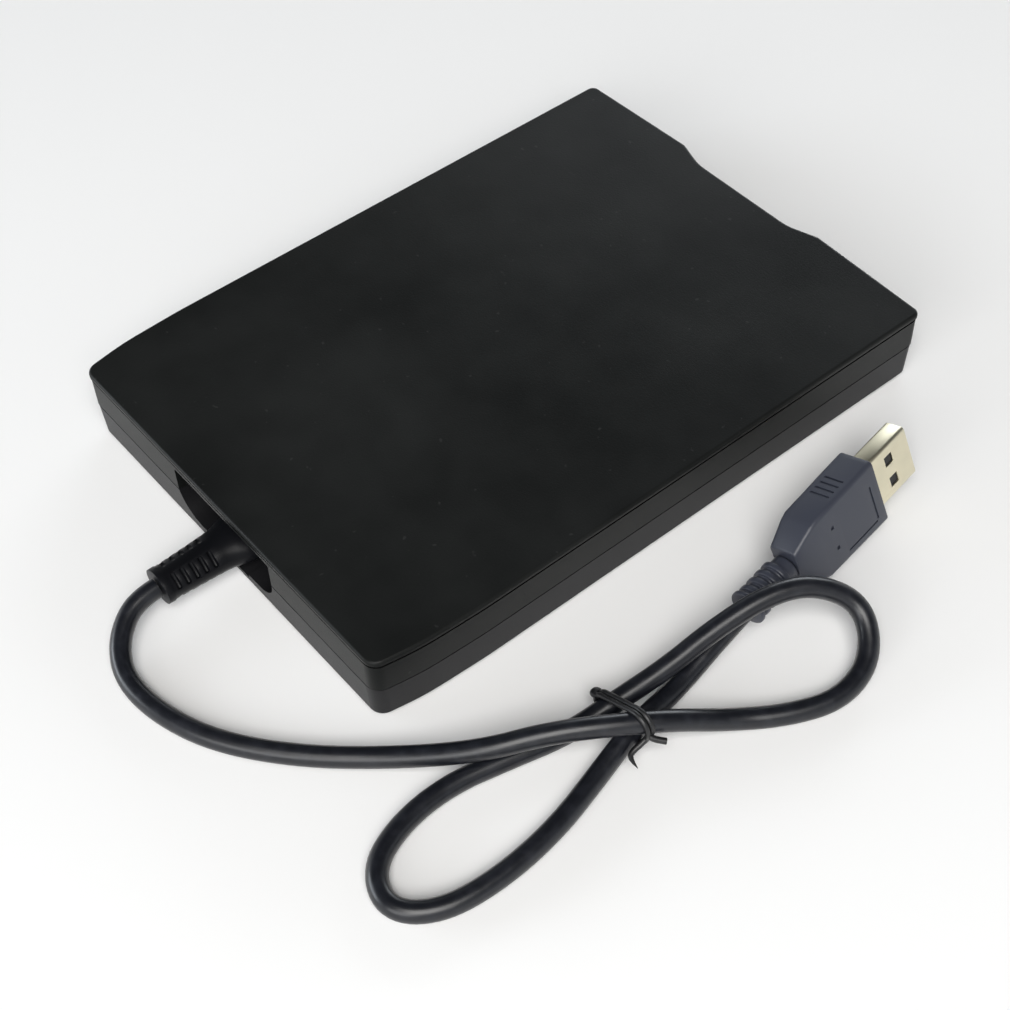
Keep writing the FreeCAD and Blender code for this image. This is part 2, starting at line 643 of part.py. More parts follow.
def make_head_carriage():
    body = new_body("head_carriage")
    front = S.carriage_front
    rear = S.carriage_rear
    column = S.column_front
    add(body, "z", S.board_top, S.rod_level + 0.7, rect(-8, 8, front - 4, rear))
    add(body, "z", S.board_top, S.rod_level + 0.7, rect(-5, 5, S.head_y - 4, front))
    add(body, "z", S.rod_level - 1.4, S.rod_level + 1.4, rect(-12, -8, front, rear), rect(8, 12, front, rear))
    add(body, "z", S.rod_level - 1.4, S.column_high, rect(-11, 11, column, rear))
    for start, end in both_sides(Size(8, "8"), Size(11, "11")):
        add(body, "x", start, end, rect(column + 2, rear, S.column_high - 1, S.arm_high))
    add(body, "y", Size(47, "47"), Size(49.4, "49.4"),
        rect(11, S.screw_x + 2.6, S.screw_z - 2.6, S.screw_z + 2.6))
    rods = [circle(side * S.rod_offset, S.rod_level, S.rod_radius + S.rod_play) for side in (-1, 1)]
    remove(body, "y", front, rear, *rods)
    remove(body, "y", Size(47, "47"), Size(49.4, "49.4"),
           circle(S.screw_x, S.screw_z, S.screw_radius + S.rod_play))
    remove(body, "x", Size(-11, "-11"), Size(11, "11"), circle(S.arm_pin_y, S.arm_pin_z, S.arm_pin_radius))


def make_lower_head():
    body = new_body("lower_head")
    add(body, "z", S.rod_level + 0.7, Size(9.1, "9.1"),
        rect(-S.head_half, S.head_half, S.head_y - S.head_half, S.head_y + S.head_half))


def make_upper_arm():
    body = new_body("upper_arm")
    add(body, "z", S.arm_low, S.arm_high,
        polygon((-4, S.head_y - 4), (4, S.head_y - 4), (6, S.head_y + 4), (6, 48.5),
                (4.6, 49.9), (4.6, 51.5), (-4.6, 51.5), (-4.6, 49.9), (-6, 48.5), (-6, S.head_y + 4)))
    add(body, "x", Size(-4.6, "-4.6"), Size(4.6, "4.6"), circle(S.arm_pin_y, S.arm_pin_z, 1.5))
    remove(body, "x", Size(-4.6, "-4.6"), Size(4.6, "4.6"),
           circle(S.arm_pin_y, S.arm_pin_z, S.arm_pin_radius + 0.03))


def make_upper_head():
    body = new_body("upper_head")
    add(body, "z", S.arm_low - 1.6, S.arm_low,
        rect(-S.head_half, S.head_half, S.head_y - S.head_half, S.head_y + S.head_half))


def make_arm_pin():
    body = new_body("arm_pin")
    add(body, "x", Size(-11, "-11"), Size(11, "11"), circle(S.arm_pin_y, S.arm_pin_z, S.arm_pin_radius))


def make_arm_spring():
    body = new_body("arm_spring")
    add(body, "x", Size(5, "5"), Size(7.6, "7.6"), circle(S.arm_pin_y, S.arm_pin_z, 1.4),
        circle(S.arm_pin_y, S.arm_pin_z, 0.95))


def make_lead_screw():
    """A rod with a single groove of the screw's pitch and a journal at each end."""
    body = new_body("lead_screw")
    add(body, "y", S.screw_front, S.screw_rear, circle(S.screw_x, S.screw_z, S.screw_radius))
    add(body, "y", S.tab_front + 0.1, S.screw_front, circle(S.screw_x, S.screw_z, S.journal_radius))
    add(body, "y", S.screw_rear, S.motor_front + 4, circle(S.screw_x, S.screw_z, S.journal_radius))
    turns = int((number(S.screw_rear) - number(S.screw_front)) / number(S.screw_pitch))
    for turn in range(turns):
        start = S.screw_front + S.screw_pitch * (turn + 0.5)
        remove(body, "y", start, start + 0.6, circle(S.screw_x, S.screw_z, S.screw_radius + 0.1),
               circle(S.screw_x, S.screw_z, S.screw_radius - 0.3))


def make_screw_bearing():
    body = new_body("screw_bearing")
    add(body, "y", S.tab_front, S.tab_front + S.sheet, circle(S.screw_x, S.screw_z, 2),
        circle(S.screw_x, S.screw_z, S.journal_radius + 0.03))


def make_motor_bracket():
    body = new_body("motor_bracket")
    front = S.bracket_front
    add(body, "y", front, front + 1, rect(S.screw_x - 6, S.screw_x + 6, S.plate_high, S.screw_z + 4.6))
    add(body, "z", S.plate_high, S.plate_high + 0.8, rect(S.screw_x - 6, S.screw_x + 6, front - 6, front))
    remove(body, "y", front, front + 1, circle(S.screw_x, S.screw_z, 1.3))


def make_stepper_motor():
    body = new_body("stepper_motor")
    add(body, "y", S.motor_front - 0.2, S.motor_rear, circle(S.screw_x, S.screw_z, S.motor_radius))
    remove(body, "y", S.motor_front - 0.2, S.motor_front + 4.3,
           circle(S.screw_x, S.screw_z, S.journal_radius + 0.03))


def make_track_sensor():
    body = new_body("track_sensor")
    add(body, "z", S.plate_high, Size(9, "9"), rect(13.5, 18.5, 50.4, 55))


# Circuit board, connectors and inner wiring
def make_main_board():
    body = new_body("main_board")
    add(body, "z", S.pcb_low, S.pcb_high, rect(S.pcb_left, S.pcb_right, S.pcb_front, S.pcb_rear))


def make_board_chips():
    body = new_body("board_chips")
    add(body, "z", S.pcb_high, S.pcb_high + 1.4, rect(-41, -31, 38, 48))
    add(body, "z", S.pcb_high, S.pcb_high + 1.2, rect(-28, -22.5, 44, 51), rect(-43, -37, 51, 57))


def make_cable_connector():
    body = new_body("cable_connector")
    add(body, "z", S.pcb_high, S.pcb_high + 3.6, rect(-22, -16, 53.5, 59.8))


def make_flex_connector():
    body = new_body("flex_connector")
    add(body, "z", S.pcb_high, S.pcb_high + 3.2, rect(-21, -17, 36, 44))


def make_head_flex():
    body = new_body("head_flex")
    outer = [(-17, 41, 0), (-13.6, 41, 1.2), (-13.6, 49, 1.2), (-11, 49, 0)]
    inner = [(-11, 48.8, 0), (-13.4, 48.8, 1), (-13.4, 40.8, 1.4), (-17, 40.8, 0)]
    add(body, "z", S.pcb_high + 1.2, S.pcb_high + 3, rounded(*outer, *inner))


def make_switches():
    """Three switch bodies with a plunger each, in front of the disk's sensing corners."""
    spots = {"protect": -S.switch_x, "density": S.switch_x, "disk": S.disk_switch_x}
    for name, x in spots.items():
        half = S.switch_half
        body = new_body(f"{name}_switch")
        add(body, "z", S.plate_high, S.switch_high,
            rect(x - half, x + half, S.switch_y - half, S.switch_y + half),
            circle(x, S.switch_y, S.plunger_radius + S.plunger_play))
        plunger = new_body(f"{name}_plunger")
        add(plunger, "z", S.plunger_high - 2.9, S.plunger_high, circle(x, S.switch_y, S.plunger_radius))


# Cord, its strain relief, tie and plug
def tube(points, radius):
    """A round tube along straight runs joined by tangent arcs, each arc as large as its two runs allow."""
    spots = [Vector(*point) for point in points]
    edges = []
    radii = []
    leave = spots[0]
    for before, corner, after in zip(spots, spots[1:], spots[2:]):
        back_way = (before - corner).normalize()
        on_way = (after - corner).normalize()
        half_turn = (math.pi - back_way.getAngle(on_way)) / 2
        back = 0.45 * min(before.distanceToPoint(corner), corner.distanceToPoint(after))
        bend = back / math.tan(half_turn)
        radii.append(round(bend, 1))
        start = corner + back_way * back
        end = corner + on_way * back
        middle = corner + (back_way + on_way).normalize() * (bend / math.cos(half_turn) - bend)
        edges.append(Part.LineSegment(leave, start).toShape())
        edges.append(Part.Arc(start, middle, end).toShape())
        leave = end
    edges.append(Part.LineSegment(leave, spots[-1]).toShape())
    path = Part.Wire(edges)
    ring = Part.Wire(Part.Circle(spots[0], spots[1] - spots[0], radius).toShape())
    solid = path.makePipeShell([ring], True, False)
    print("tube radii", radii, "length", round(path.Length, 1), "volume ratio",
          round(solid.Volume / (math.pi * radius ** 2 * path.Length), 4))
    return solid, path


def least_gap(path, diameter):
    """The least distance between two stretches of a tube's skin that aren't neighbours along it."""
    spots = path.discretize(Number=int(path.Length / 0.8))
    apart = int(14 / 0.8)
    return min(a.distanceToPoint(b) for i, a in enumerate(spots) for b in spots[i + apart:]) - diameter


def new_feature(label, shape):
    item = doc.addObject("Part::Feature", label)
    item.Label = label
    item.Shape = shape
    item.Placement = Placement()
    NODES.append(item)


def plug_place():
    """Where the plug's own frame stands: mating direction +X, thickness Y, breadth Z."""
    yaw = Rotation(Vector(0, 0, 1), SIZES["plug_yaw"])
    pitch = Rotation(Vector(0, 1, 0), -SIZES["plug_pitch"])
    lean = Rotation(Vector(1, 0, 0), -SIZES["plug_lean"])
    return Placement(Vector(SIZES["plug_x"], SIZES["plug_y"], SIZES["plug_z"]), yaw * pitch * lean)


def make_cable_boot():
    body = new_body("cable_boot")
    level = S.relief_level
    half = S.relief_half
    wall = S.case_length / 2 - S.recess_depth
    add(body, "y", wall - 3.8, wall - 2, rect(-6, 6, level - half, level + half))
    add(body, "y", wall - 2, wall, rect(-4.9, 4.9, level - 3.5, level + 3.5))
    drawn_in(body, "y", wall, S.relief_end - 11.6, rect(-6, 6, level - half, level + half),
             rect(-4.1, 4.1, level - 3.5, level + 3.5))
    add(body, "y", S.relief_end - 11.6, S.relief_end, rect(-3.4, 3.4, level - 2.9, level + 2.9))
    for ring in range(5):
        start = S.relief_end - 10.6 + 2.1 * ring
        add(body, "y", start, start + 1.1, rect(-4.1, 4.1, level - 3.5, level + 3.5))
    add(body, "y", S.relief_end - 1.4, S.relief_end, rect(-4.5, 4.5, level - 3.8, level + 3.8))


def make_cord():
    radius = SIZES["cord_diameter"] / 2
    away = plug_place().multVec(Vector(-SIZES["boot_end"], 0, 0))
    ahead = plug_place().multVec(Vector(-SIZES["boot_end"] - 8, 0, 0))
    route = CORD_ROUTE + [tuple(ahead), tuple(away)]
    solid, path = tube(route, radius)
    print("plug end of the cord", away, "before it", ahead)
    print("cord length", round(path.Length, 1), "least gap to itself", round(least_gap(path, 2 * radius), 2))
    new_feature("usb_cord", solid)
    return path


def make_inner_lead():
    level = SIZES["relief_level"]
    route = [(0, 59.2, level), (0, 55.8, level), (-6, 56.4, level + 2), (-11, 57, level + 1.8),
             (-15.8, 56.8, level + 1.6)]
    solid, _ = tube(route, 0.8)
    new_feature("inner_lead", solid)


def crossings(path, level):
    """Where a path crosses the plane y = level, as (x, z), from the outermost +X one round."""
    spots = path.discretize(Number=4000)
    found = [(a.x, a.z) for a, b in zip(spots, spots[1:]) if (a.y - level) * (b.y - level) <= 0]
    return sorted(found, reverse=True)


def make_cord_tie(cord_path):
    """A thin wire drawn round the three strands at the tie, with its two short ends."""
    wire = SIZES["tie_wire"] / 2
    out = SIZES["cord_diameter"] / 2 + wire + 0.3
    y = SIZES["tie_y"]
    strands = crossings(cord_path, y + 0.5)
    print("strands at the tie", strands)
    spots = []
    for i, (u, v) in enumerate(strands):
        for other in (strands[i - 1], strands[(i + 1) % 3]):
            way = Vector(other[0] - u, 0, other[1] - v).normalize()
            side = Vector(-way.z, 0, way.x)
            centre = Vector(sum(s[0] for s in strands) / 3, 0, sum(s[1] for s in strands) / 3)
            here = Vector(u, 0, v)
            if (here + side - centre).Length < (here - side - centre).Length:
                side = side * -1
            spots.append((here, here + side * out))
    edges = []
    count = len(strands)
    for i in range(count):
        here, arrive = spots[2 * i]
        leave = spots[2 * i + 1][1]
        middle = here + ((arrive - here) + (leave - here)).normalize() * out
        edges.append(Part.Arc(arrive, middle, leave).toShape())
        edges.append(Part.LineSegment(leave, spots[(2 * i + 2) % (2 * count)][1]).toShape())
    path = Part.Wire(edges)
    loops = []
    for shift in (0, 2 * wire + 0.1):
        turned = path.copy()
        turned.translate(Vector(0, y + shift, 0))
        start = turned.Edges[1].Vertexes[0].Point
        way = turned.Edges[1].tangentAt(turned.Edges[1].FirstParameter)
        ordered = Part.Wire(turned.Edges[1:] + turned.Edges[:1])
        ring = Part.Wire(Part.Circle(start, way, wire).toShape())
        loops.append(ordered.makePipeShell([ring], True, False))
    knot = Part.makeBox(2.3, 3.1, 2.2, Vector(-87.0, y - 1, 1.6))
    ends = [Part.makeCylinder(wire, 7.5, Vector(-86.4, y - 0.4, 2.6), Vector(-0.62, -0.74, 0)),
            Part.makeCylinder(wire, 6.5, Vector(-86.4, y + 1.4, 2.6), Vector(-0.88, 0.35, 0))]
    solid = loops[0].multiFuse([loops[1], knot] + ends).removeSplitter()
    print("tie solids", len(solid.Solids), "lowest", round(solid.BoundBox.ZMin, 2))
    new_feature("cord_tie", solid)


def make_plug_body():
    body = new_body("plug_body")
    thick = S.plug_thick / 2
    broad = S.plug_broad / 2
    section = polygon((-thick, -broad + 1.6), (-thick + 1.2, -broad),
                      (thick - 1.2, -broad), (thick, -broad + 1.6),
                      (thick, broad - 1.6), (thick - 1.2, broad), (-thick + 1.2, broad), (-thick, broad - 1.6))
    add(body, "x", -S.plug_long, Size(0, "0"), section)
    narrow = polygon((-2.9, -4.6), (-2.3, -5.2), (2.3, -5.2), (2.9, -4.6),
                     (2.9, 4.6), (2.3, 5.2), (-2.3, 5.2), (-2.9, 4.6))
    drawn_in(body, "x", -S.boot_start, -S.plug_long, narrow, section)
    remove(body, "x", Size(-4, "-4"), Size(0, "0"),
           rect(-S.shell_thick / 2, S.shell_thick / 2, -S.shell_broad / 2, S.shell_broad / 2))
    add(body, "x", -S.boot_end, -S.boot_start, circle(0, 0, 2.9))
    for ring in range(4):
        start = -S.boot_end + 2.2 + 2.3 * ring
        add(body, "x", start, start + 1.2, circle(0, 0, 3.5))
    add(body, "x", -S.boot_end, -S.boot_end + 1.2, circle(0, 0, 3.8))


def make_plug_shell():
    body = new_body("plug_shell")
    thick = S.shell_thick / 2
    broad = S.shell_broad / 2
    wall = S.shell_wall
    add(body, "x", Size(-4, "-4"), S.shell_long, rect(-thick, thick, -broad, broad),
        rect(-thick + wall, thick - wall, -broad + wall, broad - wall))
    for v in (-2.5, 2.5):
        remove(body, "y", -thick - 0.1, thick + 0.1, rect(4.6, 6.8, v - 1.1, v + 1.1))


def make_plug_tongue():
    body = new_body("plug_tongue")
    inner = S.shell_thick / 2 - S.shell_wall
    broad = S.shell_broad / 2 - S.shell_wall
    add(body, "x", Size(-4, "-4"), Size(-1, "-1"), rect(-inner, inner, -broad, broad))
    add(body, "x", Size(-1, "-1"), S.shell_long - 0.8, rect(-inner, -inner + 1.75, -broad, broad))


def make_plug_contacts():
    body = new_body("plug_contacts")
    top = -S.shell_thick / 2 + S.shell_wall + 1.75
    strips = [rect(top, top + 0.15, v - 0.5, v + 0.5) for v in (-3.5, -1.1, 1.1, 3.5)]
    add(body, "x", Size(-1, "-1"), S.shell_long - 1.6, *strips)


make_top_cover()
make_bottom_cover()
make_front_bezel()
make_slot_flap()
make_flap_spring()
make_eject_button()
make_activity_light()
make_rubber_feet()
make_case_screws()
make_chassis()
make_chassis_screws()
make_disk_carrier()
make_carrier_pins()
make_cam_slide()
make_eject_springs()
make_shutter_lever()
make_lever_pivot()
make_lever_spring()
make_motor_board()
make_spindle_bearing()
make_spindle_shaft()
make_spindle_stator()
make_spindle_rotor()
make_rotor_magnet()
make_spindle_hub()
make_drive_pin()
make_guide_rods()
make_rod_clips()
make_head_carriage()
make_lower_head()
make_upper_arm()
make_upper_head()
make_arm_pin()
make_arm_spring()
make_lead_screw()
make_screw_bearing()
make_motor_bracket()
make_stepper_motor()
make_track_sensor()
make_main_board()
make_board_chips()
make_cable_connector()
make_flex_connector()
make_head_flex()
make_switches()
make_cable_boot()
cord = make_cord()
make_inner_lead()
make_cord_tie(cord)
make_plug_body()
make_plug_shell()
make_plug_tongue()
make_plug_contacts()

for item in NODES:
    if item.Label.startswith("plug_"):
        item.Placement = plug_place()

doc.recompute()
for item in doc.Objects:
    if "Invalid" in item.State or "Error" in item.State:
        raise ValueError(f"{item.Label} failed: {item.State}")
os.makedirs("parts", exist_ok=True)
for item in NODES:
    if item.Shape.isNull() or not item.Shape.isValid():
        raise ValueError(f"{item.Label} has no valid shape")
    item.Shape.exportStep(f"parts/{item.Label}.step")
    box = item.Shape.BoundBox
    print(f"{item.Label}: {len(item.Shape.Solids)} solids, {item.Shape.Volume:.1f} mm3, "
          f"x {box.XMin:.2f} {box.XMax:.2f} y {box.YMin:.2f} {box.YMax:.2f} z {box.ZMin:.2f} {box.ZMax:.2f}")
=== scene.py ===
"""A slim external floppy disk drive with its tied cord: looks, stage, lights and camera.

Everything is in metres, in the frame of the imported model: the disk slot faces -Y, +Z is up.
"""

import logging
import math
from dataclasses import dataclass
from enum import Enum
from typing import Callable, Sequence

import bpy
from mathutils import Matrix, Quaternion, Vector

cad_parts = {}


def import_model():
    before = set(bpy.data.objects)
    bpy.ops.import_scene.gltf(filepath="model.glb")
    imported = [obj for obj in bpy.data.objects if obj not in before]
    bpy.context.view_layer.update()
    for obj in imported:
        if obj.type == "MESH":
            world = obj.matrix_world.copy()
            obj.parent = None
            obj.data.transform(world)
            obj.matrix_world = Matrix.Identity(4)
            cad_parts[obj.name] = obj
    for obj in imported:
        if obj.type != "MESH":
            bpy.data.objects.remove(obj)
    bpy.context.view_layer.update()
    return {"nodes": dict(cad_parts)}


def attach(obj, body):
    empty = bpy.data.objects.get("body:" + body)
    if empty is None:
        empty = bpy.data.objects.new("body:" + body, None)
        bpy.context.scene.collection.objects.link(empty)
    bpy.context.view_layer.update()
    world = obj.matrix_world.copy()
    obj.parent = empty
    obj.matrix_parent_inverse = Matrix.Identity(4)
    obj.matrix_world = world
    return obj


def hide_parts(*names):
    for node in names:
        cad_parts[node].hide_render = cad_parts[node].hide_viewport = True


LOG = logging.getLogger("floppy_drive")
MM = 0.001
WELD_GAP = 1e-6
FACING = 0.99
SMOOTH_ANGLE = math.radians(40.0)
# Painted shade: the near-black colour laid into a groove's height band, and how much rougher that band is
# made.
GROOVE_PAINTED_SHADE = (0.0006, 0.0006, 0.0007)
GROOVE_DULLNESS = 0.5

Triple = tuple[float, float, float]
Run = tuple[float, float, float, float]


# Shader building
class Port:
    """A shader socket on which Python arithmetic adds Math nodes."""

    def __init__(self, recipe: "Recipe", socket: bpy.types.NodeSocket) -> None:
        """Keep the socket and the recipe that its nodes go to."""
        self.recipe = recipe
        self.socket = socket

    def math(self, operation: str, *values: "Port | float", clamp: bool = False) -> "Port":
        """Run a Math node on this value and others.

        Args:
            operation: The Math node's operation.
            values: The further values, as ports or numbers.
            clamp: Whether the result is held between 0 and 1.

        Returns:
            The result as a port.
        """
        settings = {"operation": operation, "use_clamp": clamp}
        return self.recipe.node("ShaderNodeMath", settings, dict(enumerate((self, *values))))

    def __add__(self, other: "Port | float") -> "Port":
        """Add."""
        return self.math("ADD", other)

    def __sub__(self, other: "Port | float") -> "Port":
        """Subtract."""
        return self.math("SUBTRACT", other)

    def __mul__(self, other: "Port | float") -> "Port":
        """Multiply."""
        return self.math("MULTIPLY", other)

    def between(self, low: float, high: float) -> "Port":
        """Spread the stretch from low to high over 0 to 1, clamped."""
        return ((self - low) * (1.0 / (high - low))).math("ADD", 0.0, clamp=True)


class Recipe:
    """The node tree of one material.

    The Mix node's colour sockets have numbers here, because its sockets for other data share their names.
    """

    FIRST_COLOUR = 6
    SECOND_COLOUR = 7
    MIXED_COLOUR = 2

    def __init__(self, name: str) -> None:
        """Start an empty material with its output and principled shader.

        Args:
            name: The material's name.
        """
        self.material = bpy.data.materials.new(name)
        self.material.use_nodes = True
        self.tree = self.material.node_tree
        self.tree.nodes.clear()
        output = self.tree.nodes.new("ShaderNodeOutputMaterial")
        self.shader = self.tree.nodes.new("ShaderNodeBsdfPrincipled")
        self.tree.links.new(self.shader.outputs[0], output.inputs["Surface"])

    def node(self, kind: str, settings: dict | None = None, inputs: dict | None = None,
             output: int | str = 0) -> Port:
        """Add a node.

        Args:
            kind: The node's type name.
            settings: Its own properties, set before its sockets.
            inputs: Values or ports by socket name or number.
            output: The socket that is handed back.

        Returns:
            The chosen output as a port.
        """
        node = self.tree.nodes.new(kind)
        for key, value in (settings or {}).items():
            setattr(node, key, value)
        for key, value in (inputs or {}).items():
            if isinstance(value, Port):
                self.tree.links.new(value.socket, node.inputs[key])
            else:
                node.inputs[key].default_value = value
        return Port(self, node.outputs[output])

    def place(self) -> Port:
        """The surface point in the object's own metres."""
        return self.node("ShaderNodeTexCoord", output="Object")

    def noise(self, cells: float, detail: float = 2.0, rough: float = 0.5, at: Port | None = None) -> Port:
        """A noise of so many cells a metre.

        Args:
            cells: The cells in a metre.
            detail: The octaves.
            rough: How strong the finer octaves are.
            at: The point that it reads, or None for the surface point.

        Returns:
            The noise as a port from 0 to 1.
        """
        inputs = {"Vector": at or self.place(), "Scale": cells, "Detail": detail, "Roughness": rough}
        return self.node("ShaderNodeTexNoise", {"noise_dimensions": "3D"}, inputs, output="Fac")

    def stretched(self, x: float, y: float, z: float) -> Port:
        """The surface point scaled along each axis, for brushed and drawn finishes."""
        return self.node("ShaderNodeMapping", None, {"Vector": self.place(), "Scale": (x, y, z)})

    def mix(self, factor: Port | float, first: Sequence[float] | Port,
            second: Sequence[float] | Port) -> Port:
        """Blend two colours by a factor.

        Args:
            factor: 0 gives the first colour and 1 the second.
            first: A colour of three numbers or a port.
            second: The other colour.

        Returns:
            The blended colour.
        """
        colours = [c if isinstance(c, Port) else (*c, 1.0) for c in (first, second)]
        inputs = {"Factor": factor, self.FIRST_COLOUR: colours[0], self.SECOND_COLOUR: colours[1]}
        return self.node("ShaderNodeMix", {"data_type": "RGBA"}, inputs, output=self.MIXED_COLOUR)

    def bump(self, height: Port, distance: float, strength: float = 1.0, under: Port | None = None) -> Port:
        """Turn a height into a normal.

        Args:
            height: The height as a port from 0 to 1.
            distance: The relief in metres at height 1.
            strength: How much of it is used.
            under: A normal that this one is laid over.

        Returns:
            The normal.
        """
        inputs = {"Height": height, "Distance": distance, "Strength": strength}
        if under is not None:
            inputs["Normal"] = under
        return self.node("ShaderNodeBump", None, inputs)

    def feed(self, **sockets: "Port | float | Sequence[float]") -> None:
        """Set the principled shader's sockets, given with underscores for spaces."""
        for key, value in sockets.items():
            socket = self.shader.inputs[key.replace("_", " ")]
            if isinstance(value, Port):
                self.tree.links.new(value.socket, socket)
            else:
                socket.default_value = value


# Finishes
@dataclass(frozen=True)
class Finish:
    """A finish: its material's name, its base colour and its roughness."""

    name: str
    colour: Triple
    roughness: float = 0.5

    def make(self) -> bpy.types.Material:
        """Build the material once and hand it back on every later call."""
        found = bpy.data.materials.get(self.name)
        if found is not None:
            return found
        recipe = Recipe(self.name)
        self.dress(recipe)
        return recipe.material

    def dress(self, recipe: Recipe) -> None:
        """Fill the recipe's shader; each kind of finish has its own way."""
        raise NotImplementedError


@dataclass(frozen=True)
class MouldedPlastic(Finish):
    """Injection-moulded plastic with a spark-eroded grain, faint cloudiness and specks of dust.

    A groove is the stretch of height, in metres, where the colour is darkened as painted shade and the
    surface is made dull.
    """

    grain: float = 2600.0
    relief: float = 0.00003
    shine: float = 0.5
    dust: float = 0.35
    groove: tuple[float, float] | None = None

    def dress(self, recipe: Recipe) -> None:
        """Grain in the normal, clouds and pale specks in the colour, and painted shade in a dull groove."""
        grain = recipe.noise(self.grain, detail=2.0, rough=0.6)
        clouds = recipe.noise(28.0, detail=3.0, rough=0.55)
        specks = recipe.noise(700.0, detail=1.0, rough=0.3).between(0.77, 0.82) * self.dust
        paler = tuple(min(1.0, c * 1.5 + 0.004) for c in self.colour)
        dusty = tuple(min(1.0, c + 0.10) for c in self.colour)
        tint = recipe.mix(specks, recipe.mix(clouds.between(0.35, 0.7), self.colour, paler), dusty)
        rough = clouds * 0.10 + grain * 0.08 + (self.roughness - 0.09)
        # Painted shade: the groove's height band gets a near-black colour in place of the shade that falls
        # inside it.
        if self.groove is not None:
            height = recipe.node("ShaderNodeSeparateXYZ", None, {0: recipe.place()}, output="Z")
            low, high = self.groove
            painted_shade_band = height.math("GREATER_THAN", low).math("MULTIPLY", height.math("LESS_THAN", high))
            tint = recipe.mix(painted_shade_band, tint, GROOVE_PAINTED_SHADE)
            rough = rough + painted_shade_band * GROOVE_DULLNESS
        recipe.feed(
            Base_Color=tint,
            Roughness=rough,
            Normal=recipe.bump(grain, distance=self.relief, strength=0.8),
            Specular_IOR_Level=self.shine,
        )


@dataclass(frozen=True)
class CordJacket(Finish):
    """Soft vinyl of a cord: smooth and glossy, with slow waviness and rubbed patches."""

    def dress(self, recipe: Recipe) -> None:
        """Long waves and pits in the normal, and rubbed patches in the colour and roughness."""
        waves = recipe.noise(160.0, detail=2.0, rough=0.5)
        rubbed = recipe.noise(420.0, detail=3.0, rough=0.6)
        pits = recipe.noise(3800.0, detail=1.0, rough=0.5)
        paler = tuple(c * 1.7 + 0.003 for c in self.colour)
        wavy = recipe.bump(waves, distance=0.00012, strength=0.6)
        normal = recipe.bump(pits, distance=0.000012, strength=0.5, under=wavy)
        recipe.feed(
            Base_Color=recipe.mix(rubbed.between(0.45, 0.75), self.colour, paler),
            Roughness=rubbed * 0.16 + (self.roughness - 0.08),
            Normal=normal,
            Coat_Weight=0.12,
            Coat_Roughness=0.3,
        )


@dataclass(frozen=True)
class RolledMetal(Finish):
    """Sheet or turned metal with fine drawn lines along one axis and light smudges."""

    along: Triple = (30.0, 2400.0, 2400.0)
    contrast: float = 0.12

    def dress(self, recipe: Recipe) -> None:
        """Lines in the roughness and normal, and smudges in the colour."""
        lines = recipe.noise(1.0, detail=3.0, rough=0.6, at=recipe.stretched(*self.along))
        smudge = recipe.noise(70.0, detail=3.0, rough=0.5)
        darker = tuple(c * (1.0 - 1.6 * self.contrast) for c in self.colour)
        recipe.feed(
            Base_Color=recipe.mix(smudge.between(0.35, 0.75), self.colour, darker),
            Metallic=1.0,
            Roughness=lines * self.contrast + smudge * 0.1 + (self.roughness - 0.1),
            Normal=recipe.bump(lines, distance=0.000006, strength=0.6),
        )


@dataclass(frozen=True)
class CastGrain(Finish):
    """Sintered, ceramic or moulded block with an even fine grain."""

    grain: float = 1800.0
    metal: float = 0.0

    def dress(self, recipe: Recipe) -> None:
        """A grain in colour, roughness and normal."""
        grain = recipe.noise(self.grain, detail=3.0, rough=0.6)
        patch = recipe.noise(180.0, detail=2.0, rough=0.5)
        darker = tuple(c * 0.72 for c in self.colour)
        recipe.feed(
            Base_Color=recipe.mix(grain * 0.5 + patch * 0.4, self.colour, darker),
            Metallic=self.metal,
            Roughness=grain * 0.12 + (self.roughness - 0.06),
            Normal=recipe.bump(grain, distance=0.00002, strength=0.6),
        )


@dataclass(frozen=True)
class SolderMask(Finish):
    """A circuit board's mask: glossy green with copper tracks just under it."""

    def dress(self, recipe: Recipe) -> None:
        """Tracks from two crossed wave textures, as paler lines."""
        inputs = {"Vector": recipe.place(), "Scale": 62.0, "Distortion": 3.0, "Detail": 1.0,
                  "Detail Scale": 0.6}
        bands = []
        for axis, low, high in (("X", 0.86, 0.92), ("Y", 0.9, 0.95)):
            settings = {"wave_type": "BANDS", "bands_direction": axis}
            wave = recipe.node("ShaderNodeTexWave", settings, inputs, output="Fac")
            bands.append(wave.between(low, high))
        tracks = bands[0].math("MAXIMUM", bands[1])
        paler = tuple(min(1.0, c * 1.9 + 0.02) for c in self.colour)
        recipe.feed(
            Base_Color=recipe.mix(tracks, self.colour, paler),
            Roughness=recipe.noise(300.0) * 0.1 + (self.roughness - 0.05),
            Normal=recipe.bump(tracks, distance=0.00004, strength=0.7),
        )


@dataclass(frozen=True)
class CoatedPaper(Finish):
    """The matt sheet under the drive."""

    def dress(self, recipe: Recipe) -> None:
        """A very faint mottling."""
        mottle = recipe.noise(6.0, detail=3.0, rough=0.5)
        darker = tuple(c * 0.985 for c in self.colour)
        recipe.feed(
            Base_Color=recipe.mix(mottle, self.colour, darker),
            Roughness=self.roughness,
            Specular_IOR_Level=0.2,
        )


